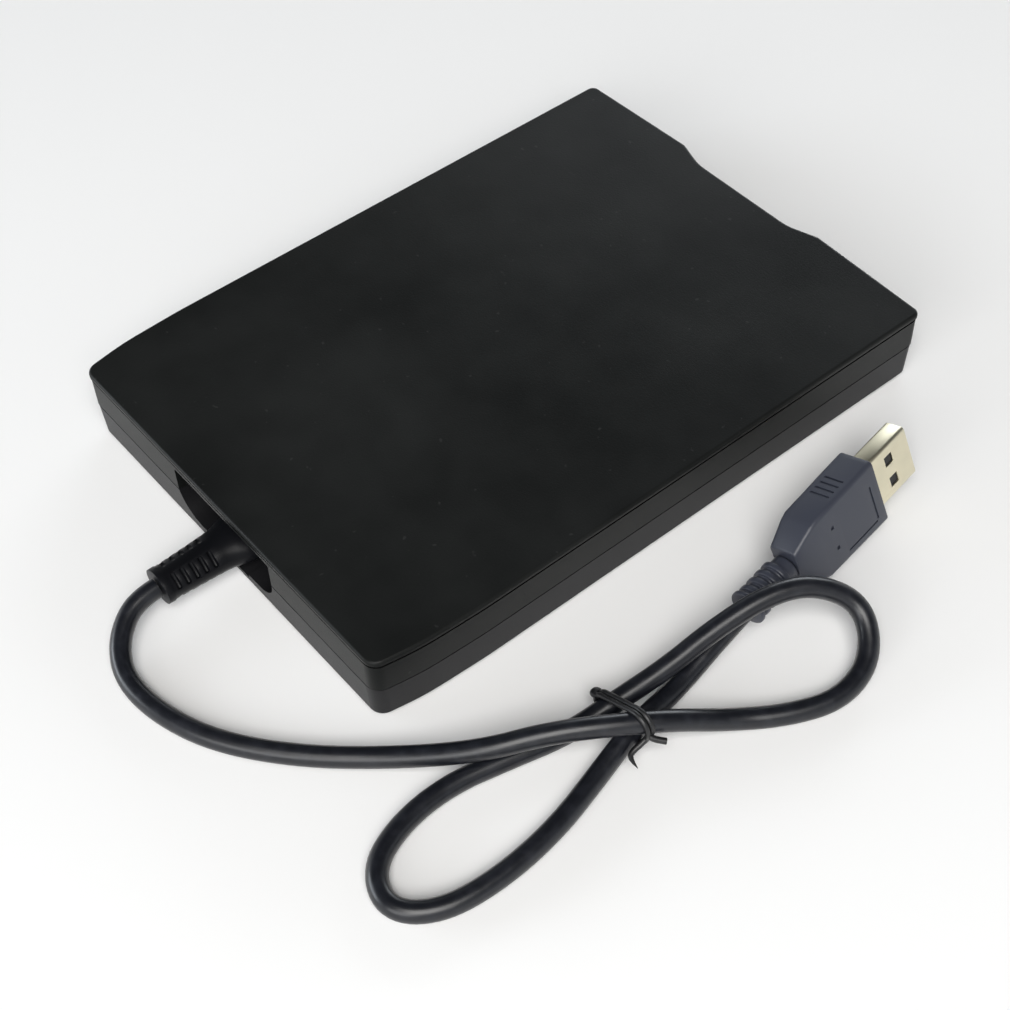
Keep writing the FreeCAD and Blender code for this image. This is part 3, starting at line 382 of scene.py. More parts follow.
class Look(Enum):
    """The finishes that the drive's pieces are given."""

    # The case's groove band just under the top cover's rim carries painted shade.
    CASE = MouldedPlastic("case_grain", (0.0060, 0.0066, 0.0064), 0.4, grain=2400.0, relief=0.00003,
                          shine=0.14, dust=0.12, groove=(16.08 * MM, 16.79 * MM))
    BASE = MouldedPlastic("base_grain", (0.0085, 0.0085, 0.0095), 0.4, grain=2400.0, relief=0.00003,
                          shine=0.15, dust=0.12)
    PANEL = MouldedPlastic("panel_satin", (0.009, 0.009, 0.0095), 0.4, grain=3400.0, relief=0.000015)
    RUBBER = MouldedPlastic("foot_rubber", (0.012, 0.012, 0.012), 0.75, grain=1800.0, relief=0.00004)
    RELIEF = MouldedPlastic("relief_vinyl", (0.004, 0.0043, 0.0055), 0.36, grain=3000.0, relief=0.00001,
                            shine=0.15, dust=0.1)
    JACKET = CordJacket("cord_vinyl", (0.0058, 0.0066, 0.0098), 0.34)
    TIE = CordJacket("tie_vinyl", (0.006, 0.0062, 0.007), 0.4)
    PLUG = MouldedPlastic("plug_blue_black", (0.0085, 0.0115, 0.0155), 0.48, grain=2800.0, relief=0.00002,
                          shine=0.08, dust=0.1)
    CHAMPAGNE = RolledMetal("shell_champagne", (0.82, 0.765, 0.58), 0.34, along=(2200.0, 60.0, 2200.0))
    ZINC = RolledMetal("zinc_sheet", (0.56, 0.57, 0.585), 0.36, along=(2000.0, 40.0, 2000.0))
    STEEL = RolledMetal("ground_steel", (0.62, 0.62, 0.63), 0.26, along=(60.0, 2600.0, 60.0), contrast=0.08)
    SPRING = RolledMetal("spring_wire", (0.5, 0.5, 0.52), 0.3, along=(900.0, 900.0, 900.0))
    BRONZE = CastGrain("sintered_bronze", (0.5, 0.33, 0.16), 0.4, grain=3000.0, metal=1.0)
    COPPER = CastGrain("enamelled_coils", (0.62, 0.26, 0.11), 0.35, grain=2200.0, metal=0.8)
    MAGNET = CastGrain("magnet_grey", (0.05, 0.05, 0.055), 0.6)
    CARRIAGE = MouldedPlastic("carriage_moulding", (0.012, 0.012, 0.014), 0.5, dust=0.1)
    CERAMIC = CastGrain("head_ceramic", (0.48, 0.46, 0.4), 0.2, grain=900.0)
    BOARD = SolderMask("board_mask", (0.01, 0.085, 0.035), 0.3)
    CHIP = CastGrain("chip_epoxy", (0.012, 0.012, 0.013), 0.5)
    NYLON = CastGrain("nylon_white", (0.72, 0.7, 0.62), 0.45, grain=1400.0)
    FILM = CastGrain("film_amber", (0.55, 0.27, 0.05), 0.3, grain=600.0)
    GOLD = RolledMetal("contact_gold", (0.83, 0.6, 0.22), 0.24)
    LENS = MouldedPlastic("light_lens", (0.12, 0.3, 0.12), 0.2, grain=900.0, relief=0.000008, dust=0.0)
    FLOOR = CoatedPaper("floor_paper", (0.925, 0.925, 0.925), 0.85)

    def put_on(self, piece: bpy.types.Object) -> None:
        """Give the piece this finish in its only slot."""
        piece.data.materials.clear()
        piece.data.materials.append(self.value.make())


CAD_LOOKS: dict[Look, tuple[str, ...]] = {
    Look.CASE: ("top_cover",),
    Look.BASE: ("bottom_cover",),
    Look.PANEL: ("front_bezel", "slot_flap", "eject_button"),
    Look.LENS: ("activity_light",),
    Look.RUBBER: ("rubber_feet",),
    Look.ZINC: ("chassis", "disk_carrier", "cam_slide", "shutter_lever", "spindle_rotor", "motor_bracket",
                "stepper_motor"),
    Look.STEEL: ("case_screws", "chassis_screws", "carrier_pins", "lever_pivot", "spindle_shaft",
                 "spindle_hub", "drive_pin", "guide_rods", "arm_pin", "lead_screw"),
    Look.SPRING: ("flap_spring", "eject_springs", "lever_spring", "arm_spring"),
    Look.BRONZE: ("spindle_bearing", "screw_bearing"),
    Look.COPPER: ("spindle_stator",),
    Look.MAGNET: ("rotor_magnet",),
    Look.CARRIAGE: ("rod_clips", "head_carriage", "upper_arm"),
    Look.CERAMIC: ("lower_head", "upper_head"),
    Look.BOARD: ("motor_board", "main_board"),
    Look.CHIP: ("track_sensor", "board_chips", "protect_switch", "density_switch", "disk_switch",
                "plug_tongue"),
    Look.NYLON: ("cable_connector", "flex_connector", "protect_plunger", "density_plunger", "disk_plunger"),
    Look.FILM: ("head_flex",),
    Look.JACKET: ("inner_lead",),
    Look.GOLD: ("plug_contacts",),
}


# Modelling by hand
class Bench:
    """The few modelling moves that the pieces share, each made with Blender's operators."""

    @staticmethod
    def clear() -> None:
        """Deselect everything, in object mode."""
        if bpy.context.object is not None and bpy.context.object.mode != "OBJECT":
            bpy.ops.object.mode_set(mode="OBJECT")
        bpy.ops.object.select_all(action="DESELECT")

    @staticmethod
    def only(piece: bpy.types.Object) -> None:
        """Select one piece and make it the active one."""
        Bench.clear()
        piece.select_set(True)
        bpy.context.view_layer.objects.active = piece

    @staticmethod
    def block(name: str, size: Sequence[float], centre: Sequence[float],
              turn: float = 0.0) -> bpy.types.Object:
        """Start a piece from a cube primitive.

        Args:
            name: The piece's name.
            size: Its size along each axis.
            centre: Its middle.
            turn: How far it is turned about Y, in radians.

        Returns:
            The new object with its scale applied.
        """
        Bench.clear()
        bpy.ops.mesh.primitive_cube_add(size=1.0, location=centre, rotation=(0.0, turn, 0.0), scale=size)
        piece = bpy.context.object
        piece.name = name
        piece.data.name = name
        bpy.ops.object.transform_apply(location=True, rotation=True, scale=True)
        return piece

    @staticmethod
    def rod(name: str, sides: int, size: tuple[float, float], centre: Sequence[float],
            turn: Sequence[float]) -> bpy.types.Object:
        """Start a piece from a cylinder primitive.

        Args:
            name: The piece's name.
            sides: The sides of its round.
            size: Its radius and its length.
            centre: Its middle.
            turn: How far it is turned about each axis, in radians.

        Returns:
            The new object with its turn applied.
        """
        Bench.clear()
        bpy.ops.mesh.primitive_cylinder_add(vertices=sides, radius=size[0], depth=size[1],
                                            location=centre, rotation=turn)
        piece = bpy.context.object
        piece.name = name
        bpy.ops.object.transform_apply(location=True, rotation=True, scale=True)
        return piece

    @staticmethod
    def pick_faces(piece: bpy.types.Object, test: Callable[[bpy.types.MeshPolygon], bool]) -> None:
        """Select, in edit mode, the faces that pass a test.

        Args:
            piece: The piece.
            test: Says whether a face is wanted.
        """
        Bench.only(piece)
        bpy.ops.object.mode_set(mode="EDIT")
        bpy.ops.mesh.select_mode(type="FACE")
        bpy.ops.mesh.select_all(action="DESELECT")
        bpy.ops.object.mode_set(mode="OBJECT")
        for face in piece.data.polygons:
            face.select = bool(test(face))
        bpy.ops.object.mode_set(mode="EDIT")

    @staticmethod
    def pick_edges(piece: bpy.types.Object, test: Callable[[Vector, Vector], bool]) -> None:
        """Select, in edit mode, the edges whose two ends pass a test.

        Args:
            piece: The piece.
            test: Takes both ends and says whether the edge is wanted.
        """
        Bench.only(piece)
        bpy.ops.object.mode_set(mode="EDIT")
        bpy.ops.mesh.select_mode(type="EDGE")
        bpy.ops.mesh.select_all(action="DESELECT")
        bpy.ops.object.mode_set(mode="OBJECT")
        corners = piece.data.vertices
        for edge in piece.data.edges:
            first, second = (corners[i].co for i in edge.vertices)
            edge.select = bool(test(first, second))
        bpy.ops.object.mode_set(mode="EDIT")

    @staticmethod
    def grow(piece: bpy.types.Object, direction: Vector, steps: Sequence[Triple]) -> None:
        """Extrude the end face step by step, sizing it after each step.

        Args:
            piece: The piece, whose end face looks along the direction.
            direction: X or Y or their negatives.
            steps: For each step, how far it goes and how the face is scaled across and upwards.
        """
        Bench.pick_faces(piece, lambda face: face.normal.dot(direction) > FACING)
        for advance, across, upwards in steps:
            bpy.ops.mesh.extrude_region_move(TRANSFORM_OT_translate={"value": direction * advance})
            scale = (1.0, across, upwards) if abs(direction.x) > 0.5 else (across, 1.0, upwards)
            bpy.ops.transform.resize(value=scale)
        bpy.ops.object.mode_set(mode="OBJECT")

    @staticmethod
    def modify(piece: bpy.types.Object, kind: str, **settings: object) -> None:
        """Add a modifier, set it up and apply it.

        Args:
            piece: The piece.
            kind: The modifier's type.
            settings: Its properties.
        """
        Bench.only(piece)
        modifier = piece.modifiers.new(kind.lower(), kind)
        for key, value in settings.items():
            setattr(modifier, key, value)
        bpy.ops.object.modifier_apply(modifier=modifier.name)

    @staticmethod
    def cut(piece: bpy.types.Object, cutter: bpy.types.Object) -> None:
        """Take the cutter's shape out of a piece, and the cutter out of the scene."""
        Bench.modify(piece, "BOOLEAN", object=cutter, operation="DIFFERENCE", solver="EXACT")
        bpy.data.objects.remove(cutter)

    @staticmethod
    def round_along_x(piece: bpy.types.Object, least: float, radius: float) -> None:
        """Round the edges that run along X.

        Args:
            piece: The piece.
            least: How far along X such an edge reaches at least.
            radius: The round's size.
        """
        Bench.pick_edges(piece, lambda a, b: abs(a.x - b.x) > least)
        bpy.ops.mesh.bevel(offset=radius, segments=4, affect="EDGES")
        bpy.ops.object.mode_set(mode="OBJECT")

    @staticmethod
    def soften(piece: bpy.types.Object, width: float, segments: int, angle: float) -> None:
        """Round the edges that turn by more than an angle.

        Args:
            piece: The piece.
            width: The round's size.
            segments: Its steps.
            angle: The least turn in degrees.
        """
        Bench.modify(piece, "BEVEL", width=width, segments=segments, limit_method="ANGLE",
                     angle_limit=math.radians(angle), harden_normals=False)

    @staticmethod
    def finish(piece: bpy.types.Object, body: str, look: Look, slot: str, *nodes: str) -> None:
        """Smooth a piece, dress it and hand it to its body.

        Args:
            piece: The piece.
            body: The CAD body that it rides on.
            look: Its finish.
            slot: The record's material slot; not used.
            nodes: The CAD nodes that it stands for.
        """
        Bench.only(piece)
        if piece.type == "MESH":
            bpy.ops.object.shade_smooth_by_angle(angle=SMOOTH_ANGLE)
        look.put_on(piece)
        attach(piece, body)
        if nodes:
            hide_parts(*nodes)
        LOG.info("%s rides on %s", piece.name, body)


# Cord
@dataclass
class Cord:
    """The cord as one curve, from the strain relief through the tie to the plug."""

    diameter: float = 4.2 * MM
    length: float = 0.390
    route: tuple[Triple, ...] = (
        # Out of the relief, down to the floor and along behind the case
        (0.0000, 0.0870, 0.0064), (0.0000, 0.0900, 0.0064), (-0.0010, 0.0945, 0.0053),
        (-0.0052, 0.0994, 0.0036), (-0.0120, 0.1022, 0.0023), (-0.0225, 0.1012, 0.0021),
        (-0.0345, 0.0965, 0.00215), (-0.0470, 0.0866, 0.0021),
        # Over the two other strands in the tie
        (-0.0589, 0.0739, 0.0030), (-0.0696, 0.0631, 0.0069), (-0.0756, 0.0524, 0.0090),
        (-0.0814, 0.0428, 0.0089), (-0.0870, 0.0326, 0.0070), (-0.0916, 0.0228, 0.0026),
        # Round the front loop and over the stretch that ends in the plug
        (-0.0978, 0.0134, 0.00215), (-0.1016, 0.0034, 0.0021), (-0.0994, -0.0066, 0.0036),
        (-0.0916, -0.0118, 0.0080), (-0.0846, -0.0056, 0.0126), (-0.0808, 0.0034, 0.0129),
        (-0.0786, 0.0147, 0.0098),
        # Back through the tie
        (-0.0777, 0.0256, 0.0065), (-0.0760, 0.0364, 0.0042), (-0.0746, 0.0470, 0.0022),
        # Round the rear loop
        (-0.0716, 0.0586, 0.00215), (-0.0689, 0.0700, 0.0021), (-0.0696, 0.0814, 0.00215),
        (-0.0736, 0.0906, 0.0021), (-0.0818, 0.0934, 0.00215), (-0.0878, 0.0866, 0.0021),
        (-0.0894, 0.0748, 0.00215), (-0.0882, 0.0612, 0.0021),
        # Through the tie again and into the plug
        (-0.0848, 0.0486, 0.0022), (-0.0822, 0.0370, 0.0042), (-0.0803, 0.0256, 0.0023),
        (-0.07854, 0.01267, 0.00575), (-0.0775, 0.00478, 0.00658),
    )

    def build(self) -> bpy.types.Object:
        """Lay the spline along the route and give it its thickness.

        Returns:
            The cord's curve object.
        """
        line = bpy.data.curves.new("cord", "CURVE")
        line.dimensions = "3D"
        spline = line.splines.new("NURBS")
        spline.points.add(len(self.route) - 1)
        for point, place in zip(spline.points, self.route):
            point.co = (*place, 1.0)
        spline.order_u = 3
        spline.use_endpoint_u = True
        line.resolution_u = 8
        line.bevel_depth = self.diameter / 2
        line.bevel_resolution = 5
        line.use_fill_caps = True
        piece = bpy.data.objects.new("cord", line)
        bpy.context.collection.objects.link(piece)
        return piece

    def centreline(self, piece: bpy.types.Object) -> list[Vector]:
        """The points of the cord's own spline, read from Blender with no thickness.

        Args:
            piece: The cord's curve object.

        Returns:
            The points in order.
        """
        depth = piece.data.bevel_depth
        piece.data.bevel_depth = 0.0
        bpy.context.view_layer.update()
        seen = piece.evaluated_get(bpy.context.evaluated_depsgraph_get())
        thread = bpy.data.meshes.new_from_object(seen)
        points = [vertex.co.copy() for vertex in thread.vertices]
        bpy.data.meshes.remove(thread)
        piece.data.bevel_depth = depth
        return points


# Strain relief at the drive
@dataclass
class StrainRelief:
    """The slotted strain relief that the rear wall clamps.

    The profile's rows say how far the relief goes on, and how it is then scaled across and upwards.
    """

    level: float = 6.4 * MM
    wall: float = 63.0 * MM
    root_radius: float = 4.9 * MM
    root_depth: float = 2.8 * MM
    edge_round: float = 0.22 * MM
    slots: int = 5
    first_slot: float = 12.6 * MM
    pitch: float = 2.05 * MM
    slant: float = 43.0
    bar: Triple = (3.7 * MM, 1.05 * MM, 2.3 * MM)
    bar_round: float = 0.42 * MM
    bar_reach: float = 4.6 * MM
    reach_loss: float = 0.1 * MM
    flatness: float = 0.88
    profile: tuple[Triple, ...] = (
        (0.0, 1.28, 0.80),
        (4.6 * MM, 1.0, 1.0),
        (1.6 * MM, 0.955, 0.985),
        (1.4 * MM, 0.9, 0.975),
        (1.4 * MM, 0.91, 0.98),
        (1.4 * MM, 0.95, 0.99),
        (11.6 * MM, 0.86, 0.92),
        (0.3 * MM, 1.05, 1.05),
        (1.3 * MM, 0.99, 0.99),
    )

    def core(self) -> bpy.types.Object:
        """Extrude the relief out of the wall: a flared root, a narrowing shank and a thin end flange.

        Returns:
            The relief without its slots.
        """
        middle = (0.0, self.wall - self.root_depth / 2, self.level)
        piece = Bench.rod("strain_relief", 48, (self.root_radius, self.root_depth), middle,
                          (-math.pi / 2, 0.0, 0.0))
        Bench.grow(piece, Vector((0.0, 1.0, 0.0)), self.profile)
        Bench.modify(piece, "WELD", merge_threshold=WELD_GAP)
        return piece

    def cutters(self) -> bpy.types.Object:
        """The rounded bars that cut the slots, a row along each of the four slanting sides.

        Returns:
            One object with every bar.
        """
        bars = []
        for number in range(self.slots):
            y = self.wall + self.first_slot + number * self.pitch
            reach = self.bar_reach - number * self.reach_loss
            for quarter in range(4):
                turn = math.radians(self.slant + 90.0 * quarter)
                place = (reach * math.sin(turn), y, self.level + self.flatness * reach * math.cos(turn))
                bars.append(Bench.block("bar", self.bar, place, turn))
        Bench.clear()
        for bar in bars:
            bar.select_set(True)
        bpy.context.view_layer.objects.active = bars[0]
        bpy.ops.object.join()
        joined = bpy.context.object
        Bench.soften(joined, self.bar_round, 3, 50.0)
        return joined

    def build(self) -> bpy.types.Object:
        """Cut the slots and round every edge.

        Returns:
            The finished mesh object.
        """
        piece = self.core()
        Bench.cut(piece, self.cutters())
        Bench.soften(piece, self.edge_round, 3, 42.0)
        return piece


# Plug
@dataclass(frozen=True)
class Mark:
    """A block that is cut out of both broad faces of the plug: its size and where its middle lies."""

    size: Triple
    x: float
    z: float


@dataclass
class Plug:
    """The flat plug at the cord's end, built along +X at the origin and then put in its place.

    The body's rows say how far it goes on behind its front, and how it is then scaled in thickness
    and breadth.
    """

    place: Triple = (-72.7 * MM, -31.7 * MM, 10.45 * MM)
    yaw: float = -82.5
    pitch: float = 6.0
    lean: float = 20.0
    thick: float = 8.0 * MM
    broad: float = 15.4 * MM
    front: float = 1.2 * MM
    body_steps: tuple[Triple, ...] = (
        (5.2 * MM, 1.0, 0.985),
        (6.0 * MM, 0.985, 0.985),
        (5.4 * MM, 1.0, 0.985),
        (1.6 * MM, 0.97, 0.93),
        (5.2 * MM, 0.84, 0.62),
    )
    marks: tuple[Mark, ...] = (
        Mark((0.5 * MM, 0.7 * MM, 8.2 * MM), -2.6 * MM, -1.0 * MM),
        Mark((9.0 * MM, 0.7 * MM, 0.4 * MM), -7.4 * MM, -5.5 * MM),
        Mark((0.8 * MM, 1.0 * MM, 0.8 * MM), -14.4 * MM, -2.6 * MM),
        Mark((0.8 * MM, 1.0 * MM, 0.8 * MM), -14.4 * MM, 2.6 * MM),
    )
    grooves: int = 4
    groove: Triple = (0.5 * MM, 4.6 * MM, 0.9 * MM)
    first_groove: float = -7.0 * MM
    groove_pitch: float = 1.5 * MM
    groove_reach: float = 0.975
    neck_radius: float = 2.9 * MM
    neck_start: float = -25.6 * MM
    neck_root: float = 1.5 * MM
    ribs: int = 4
    rib_gap: float = 0.9 * MM
    rib_width: float = 1.3 * MM
    rib_swell: float = 1.22
    collar_radius: float = 3.8 * MM
    shell: Triple = (16.0 * MM, 4.5 * MM, 12.0 * MM)
    shell_middle: float = 4.0 * MM
    sheet: float = 0.32 * MM
    window: Triple = (2.3 * MM, 9.0 * MM, 2.3 * MM)
    window_place: float = 5.9 * MM
    window_offset: float = 2.6 * MM

    def settle(self, piece: bpy.types.Object) -> None:
        """Move a piece from the plug's own axes to where the plug lies.

        Args:
            piece: The piece, built with its mating direction along +X.
        """
        turn = (Quaternion((0, 0, 1), math.radians(self.yaw))
                @ Quaternion((0, 1, 0), math.radians(-self.pitch))
                @ Quaternion((1, 0, 0), math.radians(-self.lean)))
        piece.matrix_world = Matrix.Translation(self.place) @ turn.to_matrix().to_4x4()
        Bench.only(piece)
        bpy.ops.object.transform_apply(location=True, rotation=True, scale=True)

    def build_body(self) -> bpy.types.Object:
        """The moulded body: a slightly tapering block that narrows towards the ribbed neck.

        Returns:
            The finished mesh object.
        """
        piece = Bench.block("plug_moulding", (self.front, self.thick, self.broad), (-self.front / 2, 0, 0))
        Bench.grow(piece, Vector((-1.0, 0.0, 0.0)), self.body_steps)
        Bench.round_along_x(piece, 0.5 * MM, 0.9 * MM)
        Bench.soften(piece, 0.35 * MM, 3, 32.0)
        self.carve(piece)
        return piece

    def carve(self, piece: bpy.types.Object) -> None:
        """Cut the fine lines, dimples and finger grooves into the moulding, one at a time.

        Args:
            piece: The moulding.
        """
        cutters = []
        for side in (-1.0, 1.0):
            for mark in self.marks:
                cutters.append(Bench.block("mark", mark.size, (mark.x, side * self.thick / 2, mark.z)))
            z = side * self.broad / 2 * self.groove_reach
            for step in range(self.grooves):
                x = self.first_groove - step * self.groove_pitch
                cutters.append(Bench.block("mark", self.groove, (x, 0.0, z)))
        for cutter in cutters:
            Bench.cut(piece, cutter)

    def build_neck(self) -> bpy.types.Object:
        """The round ribbed neck behind the body.

        Returns:
            The finished mesh object.
        """
        piece = Bench.rod("plug_neck", 40, (self.neck_radius, self.neck_root), (self.neck_start, 0, 0),
                          (0, math.pi / 2, 0))
        swell, flare = self.rib_swell, self.collar_radius / self.neck_radius
        steps = []
        for _ in range(self.ribs):
            steps += [(self.rib_gap, 1.0, 1.0), (0.0, swell, swell),
                      (self.rib_width, 1.0, 1.0), (0.0, 1 / swell, 1 / swell)]
        steps += [(0.8 * MM, 1.0, 1.0), (0.0, flare, flare), (1.0 * MM, 1.0, 1.0)]
        Bench.grow(piece, Vector((-1.0, 0.0, 0.0)), steps)
        Bench.modify(piece, "WELD", merge_threshold=WELD_GAP)
        Bench.soften(piece, 0.3 * MM, 3, 50.0)
        return piece

    def build_shell(self) -> bpy.types.Object:
        """The metal shell: a thin rounded tube with two square windows in each broad side.

        Returns:
            The finished mesh object.
        """
        piece = Bench.block("plug_metal", self.shell, (self.shell_middle, 0, 0))
        Bench.round_along_x(piece, 5.0 * MM, 0.7 * MM)
        Bench.pick_faces(piece, lambda face: abs(face.normal.x) > FACING)
        bpy.ops.mesh.delete(type="ONLY_FACE")
        bpy.ops.object.mode_set(mode="OBJECT")
        Bench.modify(piece, "SOLIDIFY", thickness=self.sheet, offset=-1.0, use_even_offset=True)
        for z in (-self.window_offset, self.window_offset):
            Bench.cut(piece, Bench.block("window", self.window, (self.window_place, 0, z)))
        Bench.soften(piece, 0.08 * MM, 2, 40.0)
        return piece


# Tie
@dataclass
class TwistTie:
    """A plastic-coated wire wound round the three strands, its two ends left standing.

    A run's rows are millimetres from its start, and the wire's width there against its full width.
    """

    wire: float = 0.5 * MM
    level: float = 38.0 * MM
    gap: float = 0.25 * MM
    half_pitch: float = 0.55 * MM
    drop: float = 0.6 * MM
    facets: int = 48
    knuckle: tuple[Run, ...] = (
        (-0.2, -0.7, -0.8, 0.9), (0.5, -0.9, 0.2, 1.5), (0.8, 0.0, 0.9, 1.8),
        (0.5, 0.9, 1.2, 1.5), (-0.4, 0.8, 1.3, 0.9),
    )
    short_end: tuple[Run, ...] = (
        (0.3, 0.4, 0.0, 1.0), (-0.5, 0.0, -0.6, 1.25), (-1.4, -0.9, -1.0, 1.3),
        (-2.3, -1.9, -1.3, 1.3),
    )
    long_end: tuple[Run, ...] = (
        (0.5, -0.4, -0.8, 1.0), (0.4, 1.4, -1.8, 1.2), (0.7, 3.4, -2.6, 1.2),
        (0.2, 4.8, -3.0, 1.1), (-2.4, 5.0, -3.1, 0.12),
    )

    def strands(self, thread: Sequence[Vector]) -> list[Vector]:
        """Where the cord crosses the tie's plane.

        Args:
            thread: The cord's centreline.

        Returns:
            The crossing points, from +X to -X.
        """
        found = [a.lerp(b, (self.level - a.y) / (b.y - a.y)) for a, b in zip(thread, thread[1:])
                 if (a.y - self.level) * (b.y - self.level) < 0.0]
        return sorted(found, key=lambda point: -point.x)

    def loop(self, centres: Sequence[Vector], shift: float, radius: float) -> list[Vector]:
        """A tight closed line round the strands.

        Args:
            centres: The strands' centres.
            shift: How far along Y the turn lies.
            radius: The distance that it keeps from each centre.

        Returns:
            Points on the line, in order.
        """
        points = []
        for step in range(self.facets):
            angle = 2 * math.pi * step / self.facets
            way = Vector((math.cos(angle), 0.0, math.sin(angle)))
            far = max(centres, key=lambda centre: centre.dot(way))
            points.append(Vector((far.x, self.level + shift, far.z)) + way * radius)
        return points

    def lay(self, line: bpy.types.Curve, places: Sequence[Vector], widths: Sequence[float] = ()) -> None:
        """Add one run of wire to the curve: an open one where widths are given, and else a closed one.

        Args:
            line: The curve.
            places: The run's points.
            widths: The wire's width at each point against its full width.
        """
        spline = line.splines.new("NURBS")
        spline.points.add(len(places) - 1)
        for number, (point, place) in enumerate(zip(spline.points, places)):
            point.co = (*place, 1.0)
            point.radius = widths[number] if widths else 1.0
        spline.order_u = 3
        spline.use_cyclic_u = not widths
        spline.use_endpoint_u = bool(widths)

    def build(self, thread: Sequence[Vector], thickness: float) -> bpy.types.Object:
        """Wind two turns round the strands, bend the knuckle over and leave two ends standing.

        Args:
            thread: The cord's centreline.
            thickness: The cord's diameter.

        Returns:
            The finished mesh object.
        """
        centres = self.strands(thread)
        radius = thickness / 2 + self.wire + self.gap
        line = bpy.data.curves.new("tie", "CURVE")
        line.dimensions = "3D"
        for shift in (-self.half_pitch, self.half_pitch):
            self.lay(line, self.loop(centres, shift, radius))
        far = centres[0] + Vector((radius, 0.0, 0.0))
        near = centres[-1] + Vector((-radius, 0.0, -self.drop))
        for start, rows in ((far, self.knuckle), (near, self.short_end), (near, self.long_end)):
            self.lay(line, [start + Vector(row[:3]) * MM for row in rows], [row[3] for row in rows])
        line.resolution_u = 3
        line.bevel_depth = self.wire
        line.bevel_resolution = 3
        line.use_fill_caps = True
        piece = bpy.data.objects.new("tie", line)
        bpy.context.collection.objects.link(piece)
        Bench.only(piece)
        bpy.ops.object.convert(target="MESH")
        return bpy.context.object


# Stage, light and camera
@dataclass(frozen=True)
class SoftLight:
    """A rectangular light that looks at the drive: its place, width and height, watts and colour."""

    name: str
    place: Triple
    size: tuple[float, float]
    power: float
    tint: Triple = (1.0, 1.0, 1.0)
    target: Triple = (-0.02, 0.0, 0.0)

    def hang(self) -> None:
        """Put the light in the scene."""
        lamp = bpy.data.lights.new(self.name, "AREA")
        lamp.shape = "RECTANGLE"
        lamp.size, lamp.size_y = self.size
        lamp.energy = self.power
        lamp.color = self.tint
        holder = bpy.data.objects.new(self.name, lamp)
        holder.location = self.place
        way = Vector(self.target) - Vector(self.place)
        holder.rotation_euler = way.to_track_quat("-Z", "Y").to_euler()
        bpy.context.collection.objects.link(holder)


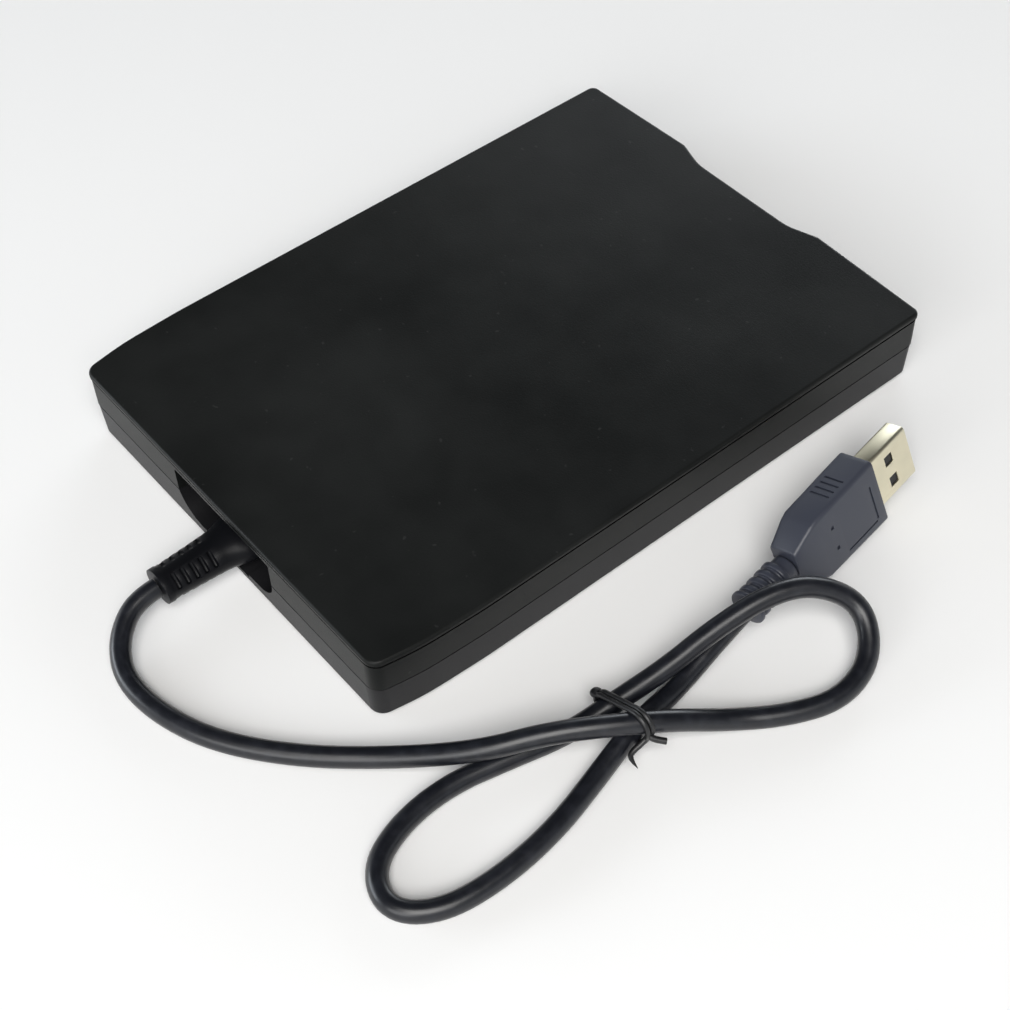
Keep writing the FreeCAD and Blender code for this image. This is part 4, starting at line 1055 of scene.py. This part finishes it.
@dataclass
class Studio:
    """The pale floor, the soft lights and the camera of the photograph."""

    azimuth: float = 232.396
    elevation: float = 49.548
    roll: float = -2.475
    lens: float = 64.776
    stand: Triple = (-213.43 * MM, 165.87 * MM, 281.32 * MM)
    floor: float = 6.0
    sky: Triple = (0.93, 0.965, 1.0)
    pale: float = 0.7
    dark: float = 0.03
    pale_to: float = 0.22
    dark_from: float = 0.62
    lights: tuple[SoftLight, ...] = (
        SoftLight("camera_side", (-0.75, 0.55, 1.15), (0.9, 0.9), 19.0, (1.0, 0.985, 0.96)),
        SoftLight("rear_side", (-0.5, 1.2, 0.6), (1.0, 0.6), 7.0),
        SoftLight("window_side", (0.9, 1.0, 0.28), (0.8, 0.4), 6.5, (0.88, 0.94, 1.0)),
        SoftLight("front_sheen", (0.75, -1.15, 0.42), (0.9, 0.35), 5.5, (0.9, 0.95, 1.0)),
    )

    def lay_floor(self) -> None:
        """A wide flat sheet under the drive."""
        Bench.clear()
        bpy.ops.mesh.primitive_grid_add(x_subdivisions=8, y_subdivisions=8, size=self.floor,
                                        location=(0, 0, 0))
        floor = bpy.context.object
        floor.name = "floor"
        Look.FLOOR.put_on(floor)

    def light(self) -> None:
        """A sky that is pale near the horizon and dark overhead, and soft lights round the drive."""
        world = bpy.data.worlds.new("sky")
        world.use_nodes = True
        nodes, links = world.node_tree.nodes, world.node_tree.links
        way = nodes.new("ShaderNodeTexCoord")
        parts = nodes.new("ShaderNodeSeparateXYZ")
        height = nodes.new("ShaderNodeMapRange")
        ranges = {"From Min": self.pale_to, "From Max": self.dark_from,
                  "To Min": self.pale, "To Max": self.dark}
        for socket, value in ranges.items():
            height.inputs[socket].default_value = value
        height.interpolation_type = "SMOOTHSTEP"
        links.new(way.outputs["Generated"], parts.inputs[0])
        links.new(parts.outputs["Z"], height.inputs["Value"])
        links.new(height.outputs[0], nodes["Background"].inputs["Strength"])
        nodes["Background"].inputs["Color"].default_value = (*self.sky, 1.0)
        bpy.context.scene.world = world
        for lamp in self.lights:
            lamp.hang()
        bpy.context.scene.view_settings.view_transform = "Standard"

    def aim(self) -> None:
        """The camera, from its angles, its roll and its lens."""
        azimuth, elevation, roll = (math.radians(x) for x in (self.azimuth, self.elevation, self.roll))
        level = math.cos(elevation)
        back = Vector((math.sin(azimuth) * level, -math.cos(azimuth) * level, math.sin(elevation)))
        flat = Vector((0, 0, 1)).cross(back).normalized()
        upright = back.cross(flat)
        right = flat * math.cos(roll) + upright * math.sin(roll)
        up = upright * math.cos(roll) - flat * math.sin(roll)
        camera = bpy.data.cameras.new("camera")
        camera.lens = self.lens
        camera.sensor_width = 36.0
        camera.clip_start = 0.01
        holder = bpy.data.objects.new("camera", camera)
        axes = Matrix((right, up, back)).transposed().to_4x4()
        holder.matrix_world = Matrix.Translation(self.stand) @ axes
        bpy.context.collection.objects.link(holder)
        bpy.context.scene.camera = holder


def dress_frame(frame: dict) -> None:
    """Give every CAD node its finish.

    Args:
        frame: The loaded frame.
    """
    for look, names in CAD_LOOKS.items():
        for name in names:
            look.put_on(frame["nodes"][name])


def main() -> None:
    """Build the pieces in order."""
    logging.basicConfig(level=logging.INFO, format="%(message)s")
    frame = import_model()
    Bench.clear()
    dress_frame(frame)
    studio = Studio()
    studio.aim()
    studio.lay_floor()
    studio.light()

    relief = StrainRelief()
    Bench.finish(relief.build(), "case", Look.RELIEF, "cord_black", "cable_boot")

    plug = Plug()
    body, neck, shell = plug.build_body(), plug.build_neck(), plug.build_shell()
    for piece in (body, neck, shell):
        plug.settle(piece)
    Bench.finish(body, "case", Look.PLUG, "plug_blue_black", "plug_body")
    Bench.finish(neck, "case", Look.PLUG, "plug_blue_black", "plug_body")
    Bench.finish(shell, "case", Look.CHAMPAGNE, "shell_metal", "plug_shell")

    cord = Cord()
    line = cord.build()
    thread = cord.centreline(line)
    tie = TwistTie().build(thread, cord.diameter)
    Bench.finish(tie, "case", Look.TIE, "tie_black", "cord_tie")
    Bench.finish(line, "case", Look.JACKET, "cord_black", "usb_cord")


if __name__ == "__main__":
    main()
